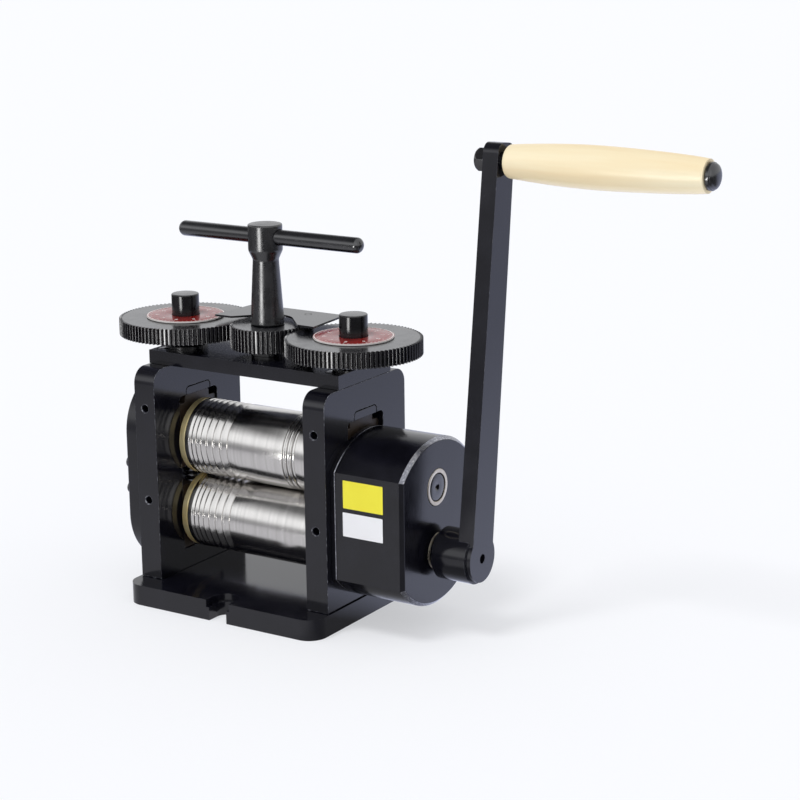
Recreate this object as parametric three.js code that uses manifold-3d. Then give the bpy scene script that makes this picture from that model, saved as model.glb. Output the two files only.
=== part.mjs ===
// Jewellers rolling mill, hand cranked, with a T-handle that sets the roller gap.
// Millimetres. X runs along the rollers to the crank side, Y to the back, Z up.
// The origin is the middle of the base plate's underside. The rollers stand closed.
import * as THREE from "three";
import { mergeVertices } from "three/addons/utils/BufferGeometryUtils.js";
import Module from "manifold-3d";

// Clearances
const SEAT = 0.2; // seam between two faces that rest on each other
const FIT = 0.3; // radial or side room of a pin, screw or key in its hole
const RUNNING = 0.2; // radial room of a journal in its bearing
const HOLE_ROOM = 1; // past a screw's or shaft's tip in a blind hole
const OVERCUT = 1; // how far a cutting tool runs past the face that it opens
const OVERLAP = 0.5; // how far a piece runs into the one it is joined to
const END_PLAY = 0.3; // room between a roller's end face and the bearing flange

// Rollers
const ROLLER_RADIUS = 25;
const ROLLER_LENGTH = 103;
const JOURNAL_RADIUS = 15;
const SHAFT_RADIUS = 9; // the thinner shaft ends that carry the gears
const SHAFT_STANDOUT = 1; // of a roller's left end past its gear
const CLOSED_GAP = 0.3; // between the two rollers when the mill is closed
const LIFT = 5; // how far the upper roller rises
const FLOOR_CLEARANCE = 12.8; // under the lower roller, above the base plate
const WIRE_GROOVE_START = 3.5; // from the left end of a roller to its first wire groove
const WIRE_GROOVE_WIDTHS = [2.2, 2.6, 3, 3.6, 4.2, 4.7, 5];
const WIRE_GROOVE_LAND = 1;
const HALF_ROUND_START = 26; // from the middle of the upper roller to its first half round groove
const HALF_ROUND_WIDTHS = [2.2, 2.6, 3];
const HALF_ROUND_LAND = 1;
const CHAMFER = 0.8;

// Frame
const BASE_DEPTH = 125;
const BASE_THICKNESS = 13.5;
const BASE_STANDOUT = 1.2; // of the base past a side plate's outer face
const BASE_CORNER_RADIUS = 12;
const PLATE_THICKNESS = 16;
const PLATE_DEPTH = 92;
const PLATE_CORNER_RADIUS = 10;
const PLATE_HEIGHT = 140.5; // above the base plate
const CROSSHEAD_DEPTH = 59;
const CROSSHEAD_THICKNESS = 8.8;
const SLOT_INSET = 8.4; // from the base's edge to the centre of a clamp slot's round end
const SLOT_RADIUS = 6.75;
const SLOT_RECESS_RADIUS = 9;
const SLOT_LEDGE = 8.6; // height of the ledge that a clamp bolt's washer bears on
const TAPPED_HOLE_RADIUS = 2.5; // the two tapped holes in each side plate's front edge
const TAPPED_HOLE_DEPTH = 10;
const TAPPED_HOLE_RISE = 15.3; // from the lower roller's axis up to the lower hole
const TAPPED_HOLE_PITCH = 61.5;

// Bearing blocks in the windows of the side plates
const WINDOW_WIDTH = 40;
const BLOCK_OUTER = 24.1; // from the journal's axis to the end away from the other roller
const BLOCK_INNER = 18.7; // from the journal's axis to the end that faces the other block
const BLOCK_BOSS_WIDTH = 25.4;
const BLOCK_BOSS_HEIGHT = 5;
const BLOCK_BOSS_BEVEL = 3.5; // on the boss's top corners and in the arch over it
const WINDOW_HEADROOM = 0.8; // over the boss when the upper roller is fully raised
const BLOCK_RECESS = 1.2; // from a side plate's inner face to the block's
const BEARING_FLANGE_RADIUS = 24.8; // the bronze ring that a roller's end face runs against
const BEARING_FLANGE_THICKNESS = 4.1;
const BEARING_NECK_RADIUS = 18.5; // between the flange and the block
const FLANGE_STANDOUT = 2.1; // from the side plate to the flange
const SPRING_RADIUS = 5; // of the wire's centre line
const SPRING_WIRE_RADIUS = 1;
const SPRING_TURNS = 4;
const SPRING_POCKET = 2;

// Gap setting gear on top
const SCREW_RADIUS = 6;
const POST_RADIUS = 9; // the smooth upper part of an adjusting screw
const POST_HEIGHT = 31.7;
const POST_CLEARANCE = 1.2; // from the crosshead up to the post's lower end
const POST_CHAMFER = 0.6;
const DIAL_GEAR_TEETH = 93;
const DIAL_GEAR_THICKNESS = 10.6;
const DIAL_GEAR_RISE = 7.3; // from the crosshead up to the underside of the toothed rim
const DIAL_HUB_RADIUS = 14;
const DIAL_RADIUS = 25.5;
const DIAL_THICKNESS = 1;
const KEY_WIDTH = 4;
const KEY_LENGTH = 10;
const KEY_INSET = 0.6; // from the post's lower end up to the key
const KEY_STANDOUT = 2.2; // how far the key stands out of the post
const KEY_SEAT = 1.8; // how deep the key lies in the post
const PINION_TEETH = 51;
const PINION_THICKNESS = 14.8;
const PINION_RISE = 4.6; // from the crosshead up to the pinion's underside
const STUD_RADIUS = 6;
const STUD_FLANGE_RADIUS = 11;
const STUD_THREAD_RADIUS = 4.8;
const STUD_HEIGHT = 42;
const HUB_LOWER_RADIUS = 10.9;
const HUB_UPPER_RADIUS = 8.3;
const HUB_SPIGOT_RADIUS = 8;
const HUB_CONE_HEIGHT = 42;
const HUB_HEAD_RADIUS = 11;
const HUB_NECK_HEIGHT = 5.8; // the flare from the cone to the head
const HUB_HEAD_HEIGHT = 16.8;
const BAR_RADIUS = 5;
const BAR_LENGTH = 141;
const BAR_DOME = 4; // length of the bar's rounded ends
const BAR_OFFSET = 3.2; // the bar stands out further on the crank side
const BAR_BELOW_TOP = 8;

// Pointer plate between the two dials
const POINTER_RISE = 21.1; // from the crosshead to the plate's underside
const POINTER_THICKNESS = 1.3;
const POINTER_TIP_GAP = 1.9; // from a pointer's tip to the dial's edge
const POINTER_TIP_Y = -4.3;
const POINTER_BACK_Y = 34.5;
const POINTER_HUB_RADIUS = 16.3; // the round notch that goes about the T-handle
const POINTER_WING_X = 26;
const POINTER_WING_DROP = 0.5; // from the wing's inner end forward to the tip
const POINTER_TAPER = 2.6; // how much further in the plate's back corners stand
const POINTER_CORNER = 3;
const STANDOFF_X = 14;
const STANDOFF_Y = 25.5;
const STANDOFF_RADIUS = 3.5;
const STANDOFF_PIN_RADIUS = 2;

// Left gear cover and the two long-toothed roller gears
const ROLLER_GEAR_TEETH = 12;
const ROLLER_GEAR_FACE = 10;
const ROLLER_GEAR_INSET = 1.8; // from the cover's open edge to the gears
const COVER_HALF_WIDTH = 37;
const COVER_DEPTH = 16.5;
const COVER_WALL = 3;
const COVER_BASE_GAP = 0.2; // from the base plate's top to the cover's lowest edge
const COVER_TOP_MARGIN = 4.7; // the upper round end's centre stands this far over the upper axis
const COVER_CHAMFER = 1.5;
const COVER_SCREW_Y = 30.5;
const COVER_SCREW_SPREAD = 8.75; // above and below the rollers' contact line

// Reduction gearbox on the right
const GEAR_DISTANCE = 41.25; // from the crank's axis up to the countershaft's
const LARGE_TEETH = 36;
const SMALL_TEETH = 18;
const GEAR_FACE = 11;
const FIRST_PLANE = 7; // from the flange plate's outer face to the inner gear pair
const PLANE_PITCH = 18; // from the inner gear pair to the outer pair
const FLANGE_THICKNESS = 3.6;
const HOUSING_RADIUS = 53.7;
const HOUSING_DROP = 1.5; // of the housing's centre line below the middle of its two shafts
const HOUSING_HALF_WIDTH = 41;
const HOUSING_LENGTH = 48.4;
const HOUSING_END_WALL = 6;
const HOUSING_CHAMFER = 2.2;
const CAVITY_RADIUS = 29.6;
const BEARING_BOSS_RADIUS = 15;
const BEARING_BOSS_LENGTH = 4.5;
const INNER_BOSS_RADIUS = 11;
const INNER_BOSS_LENGTH = 6;
const COUNTERSHAFT_RADIUS = 8.5;
const COUNTERSHAFT_TAIL_RADIUS = 6;
const TAIL_HOLE_FLOOR = 1; // what the tail's blind hole leaves of the flange plate
const BUSH_RADIUS = 11.7;
const BUSH_STANDOUT = 0.3;
const COUNTERSHAFT_SET_BACK = 0.4; // of its end from the bush's face
const COUNTERSHAFT_DIMPLE = 2.2;
const GEARBOX_SCREW_Y = 34.5;
const GEARBOX_SCREW_SPREAD = 26; // above and below the housing's centre line

// Crank
const CRANK_SHAFT_RADIUS = 8.5;
const PILOT_RADIUS = 4; // the crank shaft's nose, which runs in the roller shaft's end
const PILOT_LENGTH = 6.5;
const SQUARE_WIDTH = 12; // the crank shaft's square end
const SQUARE_LENGTH = 24;
const SHAFT_END_ROOM = 2; // past the inner gear pair, and again to the crank shaft's shoulder
const CRANK_RADIUS = 244; // from the crank shaft to the grip's axis
const CRANK_TILT = 6.8; // degrees that the arm leans back
const HUB_GAP = 0.8; // from the bush to the crank's hub
const CRANK_HUB_RADIUS = 16.5;
const CRANK_HUB_LEAD = 4.5; // the wide chamfer at the hub's inner end
const CRANK_REACH = 31; // from the hub's inner end to the arm's outer face
const CRANK_ARM_STANDOUT = 3.3; // of the arm's face past the hub
const CRANK_ARM_THICKNESS = 10.5;
const CRANK_ARM_FOOT_RADIUS = 15; // the arm's round lower end
const CRANK_ARM_LOWER_WIDTH = 24.3;
const CRANK_ARM_UPPER_WIDTH = 19.5;
const CRANK_ARM_OVERHANG = 11; // from the grip's axis to the arm's top
const CRANK_ARM_CORNER = 6.5; // radius of the top's two corners
const CRANK_FACE_HOLE_RADIUS = 3;
const SET_SCREW_RADIUS = 2.5;
const SET_SCREW_LENGTH = 9;
const SET_SCREW_PLACE = 10; // from the hub's inner end
const GRIP_LENGTH = 130;
const GRIP_BORE_RADIUS = 5.4;
const GRIP_GAP = 2.5; // from the arm to the grip
const GRIP_PLAY = 0.4; // from the grip to the bolt's head
const GRIP_RADII = [9.6, 10.3, 11.8, 12.9, 13.2, 12.9, 12, 10.9, 10];
const GRIP_STATIONS = [0, 0.012, 0.16, 0.33, 0.46, 0.6, 0.79, 0.93, 1];
const BOLT_SHOULDER_RADIUS = 5;
const BOLT_THREAD_RADIUS = 4;
const BOLT_HEAD_RADIUS = 8.3;
const BOLT_HEAD_HEIGHT = 6;
const BOLT_TAIL = 1.5; // thread that shows past the nut
const NUT_WIDTH = 14; // across the flats
const NUT_HEIGHT = 7.8;

// Screws: shank radius, head radius, head height, shank length under the head, socket width
const BASE_SCREW = { shank: 4, head: 7.5, headHeight: 4, length: 24, socket: 5 };
const CROSSHEAD_SCREW = { shank: 3, head: 6, headHeight: 3.3, length: 14, socket: 4 };
const COVER_SCREW = { shank: 2, head: 3.8, headHeight: 2.8, length: 24, socket: 2.5 };
const GEARBOX_SCREW = { shank: 2.5, head: 4.2, headHeight: 5, length: 32, socket: 4 };
const BASE_SCREW_Y = 30;
const CROSSHEAD_SCREW_Y = 21;
const SOCKET_DEPTH_SHARE = 0.6; // of the head's height
const SCREW_TIP_SHARE = 0.8; // the tip's radius, of the shank's
const SCREW_EDGE = 0.4; // the chamfer on a cap screw's head

// How finely round pieces are faceted
const SIDES = { large: 24, medium: 20, small: 12, tiny: 8 };
const ARC_STEPS = { large: 9, medium: 5, small: 3 }; // half the facets of one arc in an outline

// Heights and places that follow
const lowerAxisZ = BASE_THICKNESS + FLOOR_CLEARANCE + ROLLER_RADIUS;
const upperAxisZ = lowerAxisZ + 2 * ROLLER_RADIUS + CLOSED_GAP;
const contactZ = (lowerAxisZ + upperAxisZ) / 2;
const bearingFlangeStartX = ROLLER_LENGTH / 2 + END_PLAY;
const bearingFlangeEndX = bearingFlangeStartX + BEARING_FLANGE_THICKNESS;
const plateInnerX = bearingFlangeEndX + FLANGE_STANDOUT;
const blockStartX = plateInnerX + BLOCK_RECESS;
const plateOuterX = plateInnerX + PLATE_THICKNESS;
const screwX = (plateInnerX + plateOuterX) / 2;
const plateTopZ = BASE_THICKNESS + PLATE_HEIGHT;
const crossheadBottomZ = plateTopZ + SEAT;
const crossheadTopZ = crossheadBottomZ + CROSSHEAD_THICKNESS;
const blockEndX = plateOuterX - END_PLAY;
const lowerBlockTopZ = lowerAxisZ + BLOCK_INNER;
const upperBlockBottomZ = upperAxisZ - BLOCK_INNER;
const bossTopZ = upperAxisZ + BLOCK_OUTER + BLOCK_BOSS_HEIGHT;
const windowBottomZ = lowerAxisZ - BLOCK_OUTER - SEAT;
const windowShoulderZ = upperAxisZ + BLOCK_OUTER + LIFT + FIT;
const windowTopZ = bossTopZ + LIFT + WINDOW_HEADROOM;
const dialGearBottomZ = crossheadTopZ + DIAL_GEAR_RISE;
const dialGearTopZ = dialGearBottomZ + DIAL_GEAR_THICKNESS;
const postBottomZ = crossheadTopZ + POST_CLEARANCE;
const postTopZ = postBottomZ + POST_HEIGHT;
const keyBottomZ = postBottomZ + KEY_INSET;
const keyTopZ = keyBottomZ + KEY_LENGTH;
const pinionBottomZ = crossheadTopZ + PINION_RISE;
const pinionTopZ = pinionBottomZ + PINION_THICKNESS;
const pointerBottomZ = crossheadTopZ + POINTER_RISE;
const settingModule = (2 * screwX) / (DIAL_GEAR_TEETH + PINION_TEETH);
const reductionModule = (2 * GEAR_DISTANCE) / (LARGE_TEETH + SMALL_TEETH);
const rollerGearModule = (upperAxisZ - lowerAxisZ) / ROLLER_GEAR_TEETH;
const countershaftZ = lowerAxisZ + GEAR_DISTANCE;
const housingCentreZ = (lowerAxisZ + countershaftZ) / 2 - HOUSING_DROP;
const flangeInnerX = plateOuterX + SEAT;
const flangeOuterX = flangeInnerX + FLANGE_THICKNESS;
const housingStartX = flangeOuterX + SEAT;
const housingEndX = housingStartX + HOUSING_LENGTH;
const innerPlaneX = flangeOuterX + FIRST_PLANE;
const outerPlaneX = innerPlaneX + PLANE_PITCH;
const rollerShaftEndX = innerPlaneX + GEAR_FACE + SHAFT_END_ROOM;
const bushOuterX = housingEndX + BUSH_STANDOUT;
const hubStartX = bushOuterX + HUB_GAP;
const armOuterX = hubStartX + CRANK_REACH;
const armInnerX = armOuterX - CRANK_ARM_THICKNESS;
const coverOpenX = plateOuterX + SEAT;
const coverEndX = coverOpenX + COVER_DEPTH;
const coverLowerZ = BASE_THICKNESS + COVER_BASE_GAP + COVER_HALF_WIDTH;
const coverUpperZ = upperAxisZ + COVER_TOP_MARGIN;
const rollerGearX = coverOpenX + ROLLER_GEAR_INSET;

const wasm = await Module();
wasm.setup();

// A geometry as a manifold-3d solid, for joining and cutting.
function solidOf(geometry) {
  const bare = new THREE.BufferGeometry();
  bare.setAttribute("position", geometry.getAttribute("position").clone());
  if (geometry.index) bare.setIndex(geometry.index.clone());
  const merged = mergeVertices(bare, 1e-4);
  return new wasm.Manifold(
    new wasm.Mesh({
      numProp: 3,
      vertProperties: new Float32Array(merged.attributes.position.array),
      triVerts: new Uint32Array(merged.index.array),
    }),
  );
}

function geometryOf(solid) {
  const mesh = solid.getMesh();
  const geometry = new THREE.BufferGeometry();
  geometry.setAttribute("position", new THREE.BufferAttribute(new Float32Array(mesh.vertProperties), 3));
  geometry.setIndex(new THREE.BufferAttribute(new Uint32Array(mesh.triVerts), 1));
  return geometry;
}

function join(first, ...others) {
  return geometryOf(others.reduce((sum, other) => sum.add(solidOf(other)), solidOf(first)));
}

function cut(body, ...tools) {
  return geometryOf(tools.reduce((rest, tool) => rest.subtract(solidOf(tool)), solidOf(body)));
}

function polygon(points) {
  return new THREE.Shape(points.map(([x, y]) => new THREE.Vector2(x, y)));
}

// An upright block between two opposite corners.
function block([x0, y0, z0], [x1, y1, z1]) {
  const geometry = new THREE.BoxGeometry(x1 - x0, y1 - y0, z1 - z0);
  return geometry.translate((x0 + x1) / 2, (y0 + y1) / 2, (z0 + z1) / 2);
}

// A flat outline raised from z0 to z1.
function prism(outline, z0, z1, curveSegments = ARC_STEPS.small) {
  const geometry = new THREE.ExtrudeGeometry(outline, { depth: z1 - z0, bevelEnabled: false, curveSegments });
  return geometry.translate(0, 0, z0);
}

// A body turned about Z. The profile runs upwards as [radius, z] pairs, from the axis to the axis.
function turned(profile, sides = SIDES.medium) {
  const points = profile.map(([radius, z]) => new THREE.Vector2(radius, z));
  return new THREE.LatheGeometry(points, sides).rotateX(Math.PI / 2);
}

function rod(radius, z0, z1, sides = SIDES.medium) {
  return turned([[0, z0], [radius, z0], [radius, z1], [0, z1]], sides);
}

// Lays a piece that was made about Z along X: its x, y and z become Y, Z and X.
const LAY_ALONG_X = new THREE.Matrix4().makeBasis(
  new THREE.Vector3(0, 1, 0),
  new THREE.Vector3(0, 0, 1),
  new THREE.Vector3(1, 0, 0),
);

function alongX(geometry, y = 0, z = 0) {
  return geometry.applyMatrix4(LAY_ALONG_X).translate(0, y, z);
}

// The same piece seen in a mirror at X = 0, for the left side.
function mirrored(geometry) {
  const position = geometry.getAttribute("position").clone();
  for (let i = 0; i < position.count; i++) position.setX(i, -position.getX(i));
  const source = geometry.index ?? { count: position.count, getX: (i) => i };
  const index = [];
  for (let i = 0; i < source.count; i += 3) {
    index.push(source.getX(i), source.getX(i + 2), source.getX(i + 1));
  }
  return new THREE.BufferGeometry().setAttribute("position", position).setIndex(index);
}

// side is 1 for the right and -1 for the left; the piece is made for the right.
function onSide(side, geometry) {
  return side > 0 ? geometry : mirrored(geometry);
}

function hexagon(width) {
  const corner = width / Math.sqrt(3);
  const angles = Array.from({ length: 6 }, (_, i) => (i * Math.PI) / 3);
  return polygon(angles.map((angle) => [corner * Math.cos(angle), corner * Math.sin(angle)]));
}

// A gear's outline with involute flanks, a tooth standing at the angle phase.
function gearOutline(teeth, module, options = {}) {
  const { phase = 0, addendum = 1, dedendum = 1.25, fullness = 0.8, steps = 2 } = options;
  const pressure = THREE.MathUtils.degToRad(20);
  const involute = (angle) => Math.tan(angle) - angle;
  const pitchRadius = (teeth * module) / 2;
  const baseRadius = pitchRadius * Math.cos(pressure);
  const rootRadius = pitchRadius - dedendum * module;
  const tipRadius = pitchRadius + addendum * module;
  const halfTooth = (Math.PI / (2 * teeth)) * fullness;
  const halfAngle = (radius) => {
    const roll = Math.acos(Math.min(1, baseRadius / Math.max(radius, baseRadius)));
    return halfTooth + involute(pressure) - involute(roll);
  };
  const depth = tipRadius - rootRadius;
  const radii = Array.from({ length: steps }, (_, i) => rootRadius + (depth * i) / (steps - 1));
  const points = [];
  for (let tooth = 0; tooth < teeth; tooth++) {
    const centre = phase + (tooth * 2 * Math.PI) / teeth;
    const at = (radius, angle) => [radius * Math.cos(angle), radius * Math.sin(angle)];
    for (const radius of radii) points.push(at(radius, centre - halfAngle(radius)));
    for (const radius of [...radii].reverse()) points.push(at(radius, centre + halfAngle(radius)));
  }
  return polygon(points);
}

// Screws, with their heads at z = 0 and their shanks down along -Z.
function countersunkScrew(screw) {
  return screwBody(screw, [[screw.head, 0]]);
}

function capScrew(screw) {
  const { head, headHeight } = screw;
  return screwBody(screw, [[head, -headHeight], [head, -SCREW_EDGE], [head - SCREW_EDGE, 0]]);
}

function screwBody({ shank, headHeight, length, socket }, headProfile) {
  const tip = -headHeight - length;
  const tipRadius = shank * SCREW_TIP_SHARE;
  const taperTop = tip + 1.5 * (shank - tipRadius);
  const shaft = [[0, tip], [tipRadius, tip], [shank, taperTop], [shank, -headHeight]];
  const body = turned([...shaft, ...headProfile, [0, 0]], SIDES.tiny);
  return cut(body, prism(hexagon(socket), -headHeight * SOCKET_DEPTH_SHARE, OVERCUT));
}

// The hole for a countersunk screw whose head lies flush at z = 0.
function countersunkHole({ shank, head, headHeight }, depth) {
  const bore = shank + FIT;
  const mouth = head + FIT;
  const profile = [[0, -depth], [bore, -depth], [bore, -headHeight - FIT],
    [mouth, 0], [mouth, OVERCUT], [0, OVERCUT]];
  return turned(profile, SIDES.tiny);
}

// Frame pieces

function basePlate() {
  const halfDepth = BASE_DEPTH / 2;
  const outline = new THREE.Shape();
  const corners = [[1, -1, -90], [1, 1, 0], [-1, 1, 90], [-1, -1, 180]];
  for (const [sideX, sideY, start] of corners) {
    const x = sideX * (plateOuterX + BASE_STANDOUT - BASE_CORNER_RADIUS);
    const y = sideY * (halfDepth - BASE_CORNER_RADIUS);
    const from = THREE.MathUtils.degToRad(start);
    outline.absarc(x, y, BASE_CORNER_RADIUS, from, from + Math.PI / 2, false);
  }
  const slotY = halfDepth - SLOT_INSET;
  const slot = (radius, bottom) => {
    const shape = new THREE.Shape();
    shape.moveTo(-radius, halfDepth + OVERCUT);
    shape.lineTo(-radius, slotY);
    shape.absarc(0, slotY, radius, Math.PI, 2 * Math.PI, false);
    shape.lineTo(radius, halfDepth + OVERCUT);
    return prism(shape, bottom, BASE_THICKNESS + OVERCUT, ARC_STEPS.medium);
  };
  const slots = [0, Math.PI].flatMap((turn) => [
    slot(SLOT_RADIUS, -OVERCUT).rotateZ(turn),
    slot(SLOT_RECESS_RADIUS, SLOT_LEDGE).rotateZ(turn),
  ]);
  const screwHoles = frameScrewPlaces(BASE_SCREW_Y).map(([x, y]) =>
    countersunkHole(BASE_SCREW, BASE_THICKNESS + OVERCUT).rotateX(Math.PI).translate(x, y, 0),
  );
  return cut(prism(outline, 0, BASE_THICKNESS), ...slots, ...screwHoles);
}

// The four places, two in each side plate, where screws hold the base or the crosshead.
function frameScrewPlaces(y) {
  return [-1, 1].flatMap((sideX) => [-1, 1].map((sideY) => [sideX * screwX, sideY * y]));
}

function sidePlate(side) {
  const halfDepth = PLATE_DEPTH / 2;
  const bottom = BASE_THICKNESS + SEAT;
  const cornerY = halfDepth - PLATE_CORNER_RADIUS;
  const cornerZ = plateTopZ - PLATE_CORNER_RADIUS;
  const outline = new THREE.Shape();
  outline.moveTo(-halfDepth, bottom);
  outline.lineTo(halfDepth, bottom);
  outline.absarc(cornerY, cornerZ, PLATE_CORNER_RADIUS, 0, Math.PI / 2, false);
  outline.absarc(-cornerY, cornerZ, PLATE_CORNER_RADIUS, Math.PI / 2, Math.PI, false);
  outline.holes.push(windowPath());
  const body = alongX(prism(outline, plateInnerX, plateOuterX));
  const overTop = plateTopZ + OVERCUT;
  const tools = [rod(SCREW_RADIUS + FIT, windowTopZ - OVERCUT, overTop).translate(screwX, 0, 0)];
  const topHoleDepth = CROSSHEAD_SCREW.length + CROSSHEAD_SCREW.headHeight - CROSSHEAD_THICKNESS + HOLE_ROOM;
  const bottomHoleTop = BASE_SCREW.length + BASE_SCREW.headHeight + HOLE_ROOM;
  for (const sideY of [-1, 1]) {
    tools.push(
      rod(CROSSHEAD_SCREW.shank + FIT, plateTopZ - topHoleDepth, overTop, SIDES.tiny)
        .translate(screwX, sideY * CROSSHEAD_SCREW_Y, 0),
      rod(BASE_SCREW.shank + FIT, BASE_THICKNESS - OVERCUT, bottomHoleTop, SIDES.tiny)
        .translate(screwX, sideY * BASE_SCREW_Y, 0),
    );
  }
  const lowerHoleZ = lowerAxisZ + TAPPED_HOLE_RISE;
  for (const z of [lowerHoleZ, lowerHoleZ + TAPPED_HOLE_PITCH]) {
    tools.push(tappedHole().translate(screwX, -halfDepth, z));
  }
  tools.push(...(side > 0 ? gearboxScrewHolesInPlate() : coverScrewHolesInPlate()));
  return onSide(side, cut(body, ...tools));
}

// A chamfered blind hole whose mouth is at the origin and which runs along +Y.
function tappedHole() {
  const mouth = TAPPED_HOLE_RADIUS + CHAMFER;
  const profile = [[0, -TAPPED_HOLE_DEPTH], [TAPPED_HOLE_RADIUS, -TAPPED_HOLE_DEPTH],
    [TAPPED_HOLE_RADIUS, -CHAMFER], [mouth, 0], [mouth, OVERCUT], [0, OVERCUT]];
  return turned(profile, SIDES.small).rotateX(Math.PI / 2);
}

// The bearing window: as wide as the blocks, with a narrower arch over the upper block's boss.
function windowPath() {
  const half = WINDOW_WIDTH / 2;
  const archHalf = BLOCK_BOSS_WIDTH / 2 + FIT;
  const bevel = BLOCK_BOSS_BEVEL;
  return new THREE.Path(
    [[-half, windowBottomZ], [-half, windowShoulderZ], [-archHalf, windowShoulderZ],
      [-archHalf, windowTopZ - bevel], [-archHalf + bevel, windowTopZ], [archHalf - bevel, windowTopZ],
      [archHalf, windowTopZ - bevel], [archHalf, windowShoulderZ], [half, windowShoulderZ],
      [half, windowBottomZ]].map(([y, z]) => new THREE.Vector2(y, z)),
  );
}

function crosshead() {
  const body = block(
    [-plateOuterX, -CROSSHEAD_DEPTH / 2, crossheadBottomZ],
    [plateOuterX, CROSSHEAD_DEPTH / 2, crossheadTopZ],
  );
  const through = (radius, x, y) =>
    rod(radius, crossheadBottomZ - OVERCUT, crossheadTopZ + OVERCUT, SIDES.small).translate(x, y, 0);
  const tools = [through(SCREW_RADIUS + FIT, screwX, 0), through(SCREW_RADIUS + FIT, -screwX, 0)];
  tools.push(through(STUD_THREAD_RADIUS + FIT, 0, 0));
  for (const side of [-1, 1]) tools.push(through(STANDOFF_PIN_RADIUS + FIT, side * STANDOFF_X, STANDOFF_Y));
  for (const [x, y] of frameScrewPlaces(CROSSHEAD_SCREW_Y)) {
    tools.push(countersunkHole(CROSSHEAD_SCREW, CROSSHEAD_THICKNESS + OVERCUT).translate(x, y, crossheadTopZ));
  }
  return cut(body, ...tools);
}

// Bearings and return springs

function bearingBlock(side, level) {
  const upper = level === "upper";
  const axisZ = upper ? upperAxisZ : lowerAxisZ;
  const direction = upper ? 1 : -1; // towards the block's outer end
  const half = WINDOW_WIDTH / 2 - FIT;
  const bossHalf = BLOCK_BOSS_WIDTH / 2;
  const outerEnd = axisZ + direction * BLOCK_OUTER;
  const innerEnd = axisZ - direction * BLOCK_INNER;
  const bottom = Math.min(outerEnd, innerEnd);
  const top = Math.max(outerEnd, innerEnd);
  const bevelZ = bossTopZ - BLOCK_BOSS_BEVEL;
  const bevelY = bossHalf - BLOCK_BOSS_BEVEL;
  const boss = [[bossHalf, top], [bossHalf, bevelZ], [bevelY, bossTopZ],
    [-bevelY, bossTopZ], [-bossHalf, bevelZ], [-bossHalf, top]];
  const outline = polygon([[-half, bottom], [half, bottom], [half, top], ...(upper ? boss : []), [-half, top]]);
  const neckEnd = blockStartX + OVERLAP;
  const flange = turned([[0, bearingFlangeStartX], [BEARING_FLANGE_RADIUS, bearingFlangeStartX],
    [BEARING_FLANGE_RADIUS, bearingFlangeEndX], [BEARING_NECK_RADIUS, bearingFlangeEndX],
    [BEARING_NECK_RADIUS, neckEnd], [0, neckEnd]], SIDES.large);
  const body = join(alongX(prism(outline, blockStartX, blockEndX)), alongX(flange, 0, axisZ));
  const boreStart = bearingFlangeStartX - OVERCUT;
  const journalHole = rod(JOURNAL_RADIUS + RUNNING, boreStart, blockEndX + OVERCUT, SIDES.large);
  const pocketEnds = [innerEnd + direction * SPRING_POCKET, innerEnd - direction * OVERCUT];
  const pocketRadius = SPRING_RADIUS + SPRING_WIRE_RADIUS + FIT;
  const pocket = rod(pocketRadius, Math.min(...pocketEnds), Math.max(...pocketEnds), SIDES.small);
  pocket.translate(screwX, 0, 0);
  return onSide(side, cut(body, alongX(journalHole, 0, axisZ), pocket));
}

class Helix extends THREE.Curve {
  constructor(radius, bottom, top, turns) {
    super();
    Object.assign(this, { radius, bottom, top, turns });
  }

  getPoint(t, target = new THREE.Vector3()) {
    const angle = 2 * Math.PI * this.turns * t;
    const z = this.bottom + (this.top - this.bottom) * t;
    return target.set(this.radius * Math.cos(angle), this.radius * Math.sin(angle), z);
  }
}

// The compression spring between a lower and an upper bearing block.
function returnSpring(side) {
  const bottom = lowerBlockTopZ - SPRING_POCKET + SEAT + SPRING_WIRE_RADIUS;
  const top = upperBlockBottomZ + SPRING_POCKET - SEAT - SPRING_WIRE_RADIUS;
  const section = polygon(
    Array.from({ length: 5 }, (_, i) => {
      const angle = (i * 2 * Math.PI) / 5;
      return [SPRING_WIRE_RADIUS * Math.cos(angle), SPRING_WIRE_RADIUS * Math.sin(angle)];
    }),
  );
  const extrudePath = new Helix(SPRING_RADIUS, bottom, top, SPRING_TURNS);
  const wire = new THREE.ExtrudeGeometry(section, { steps: SPRING_TURNS * 8, extrudePath });
  return wire.translate(side * screwX, 0, 0);
}

// Rollers

// Points across a roller's wire grooves, from the left; each groove is a right angled V.
function wireGrooveProfile() {
  const points = [];
  let x = -ROLLER_LENGTH / 2 + WIRE_GROOVE_START;
  for (const width of WIRE_GROOVE_WIDTHS) {
    points.push([ROLLER_RADIUS, x], [ROLLER_RADIUS - width / 2, x + width / 2], [ROLLER_RADIUS, x + width]);
    x += width + WIRE_GROOVE_LAND;
  }
  return points;
}

function halfRoundProfile() {
  const points = [];
  let x = HALF_ROUND_START;
  for (const width of HALF_ROUND_WIDTHS) {
    for (const share of [0, 0.25, 0.75, 1]) {
      const depth = width * Math.sqrt(0.25 - (share - 0.5) ** 2);
      points.push([ROLLER_RADIUS - depth, x + share * width]);
    }
    x += width + HALF_ROUND_LAND;
  }
  return points;
}

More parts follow.
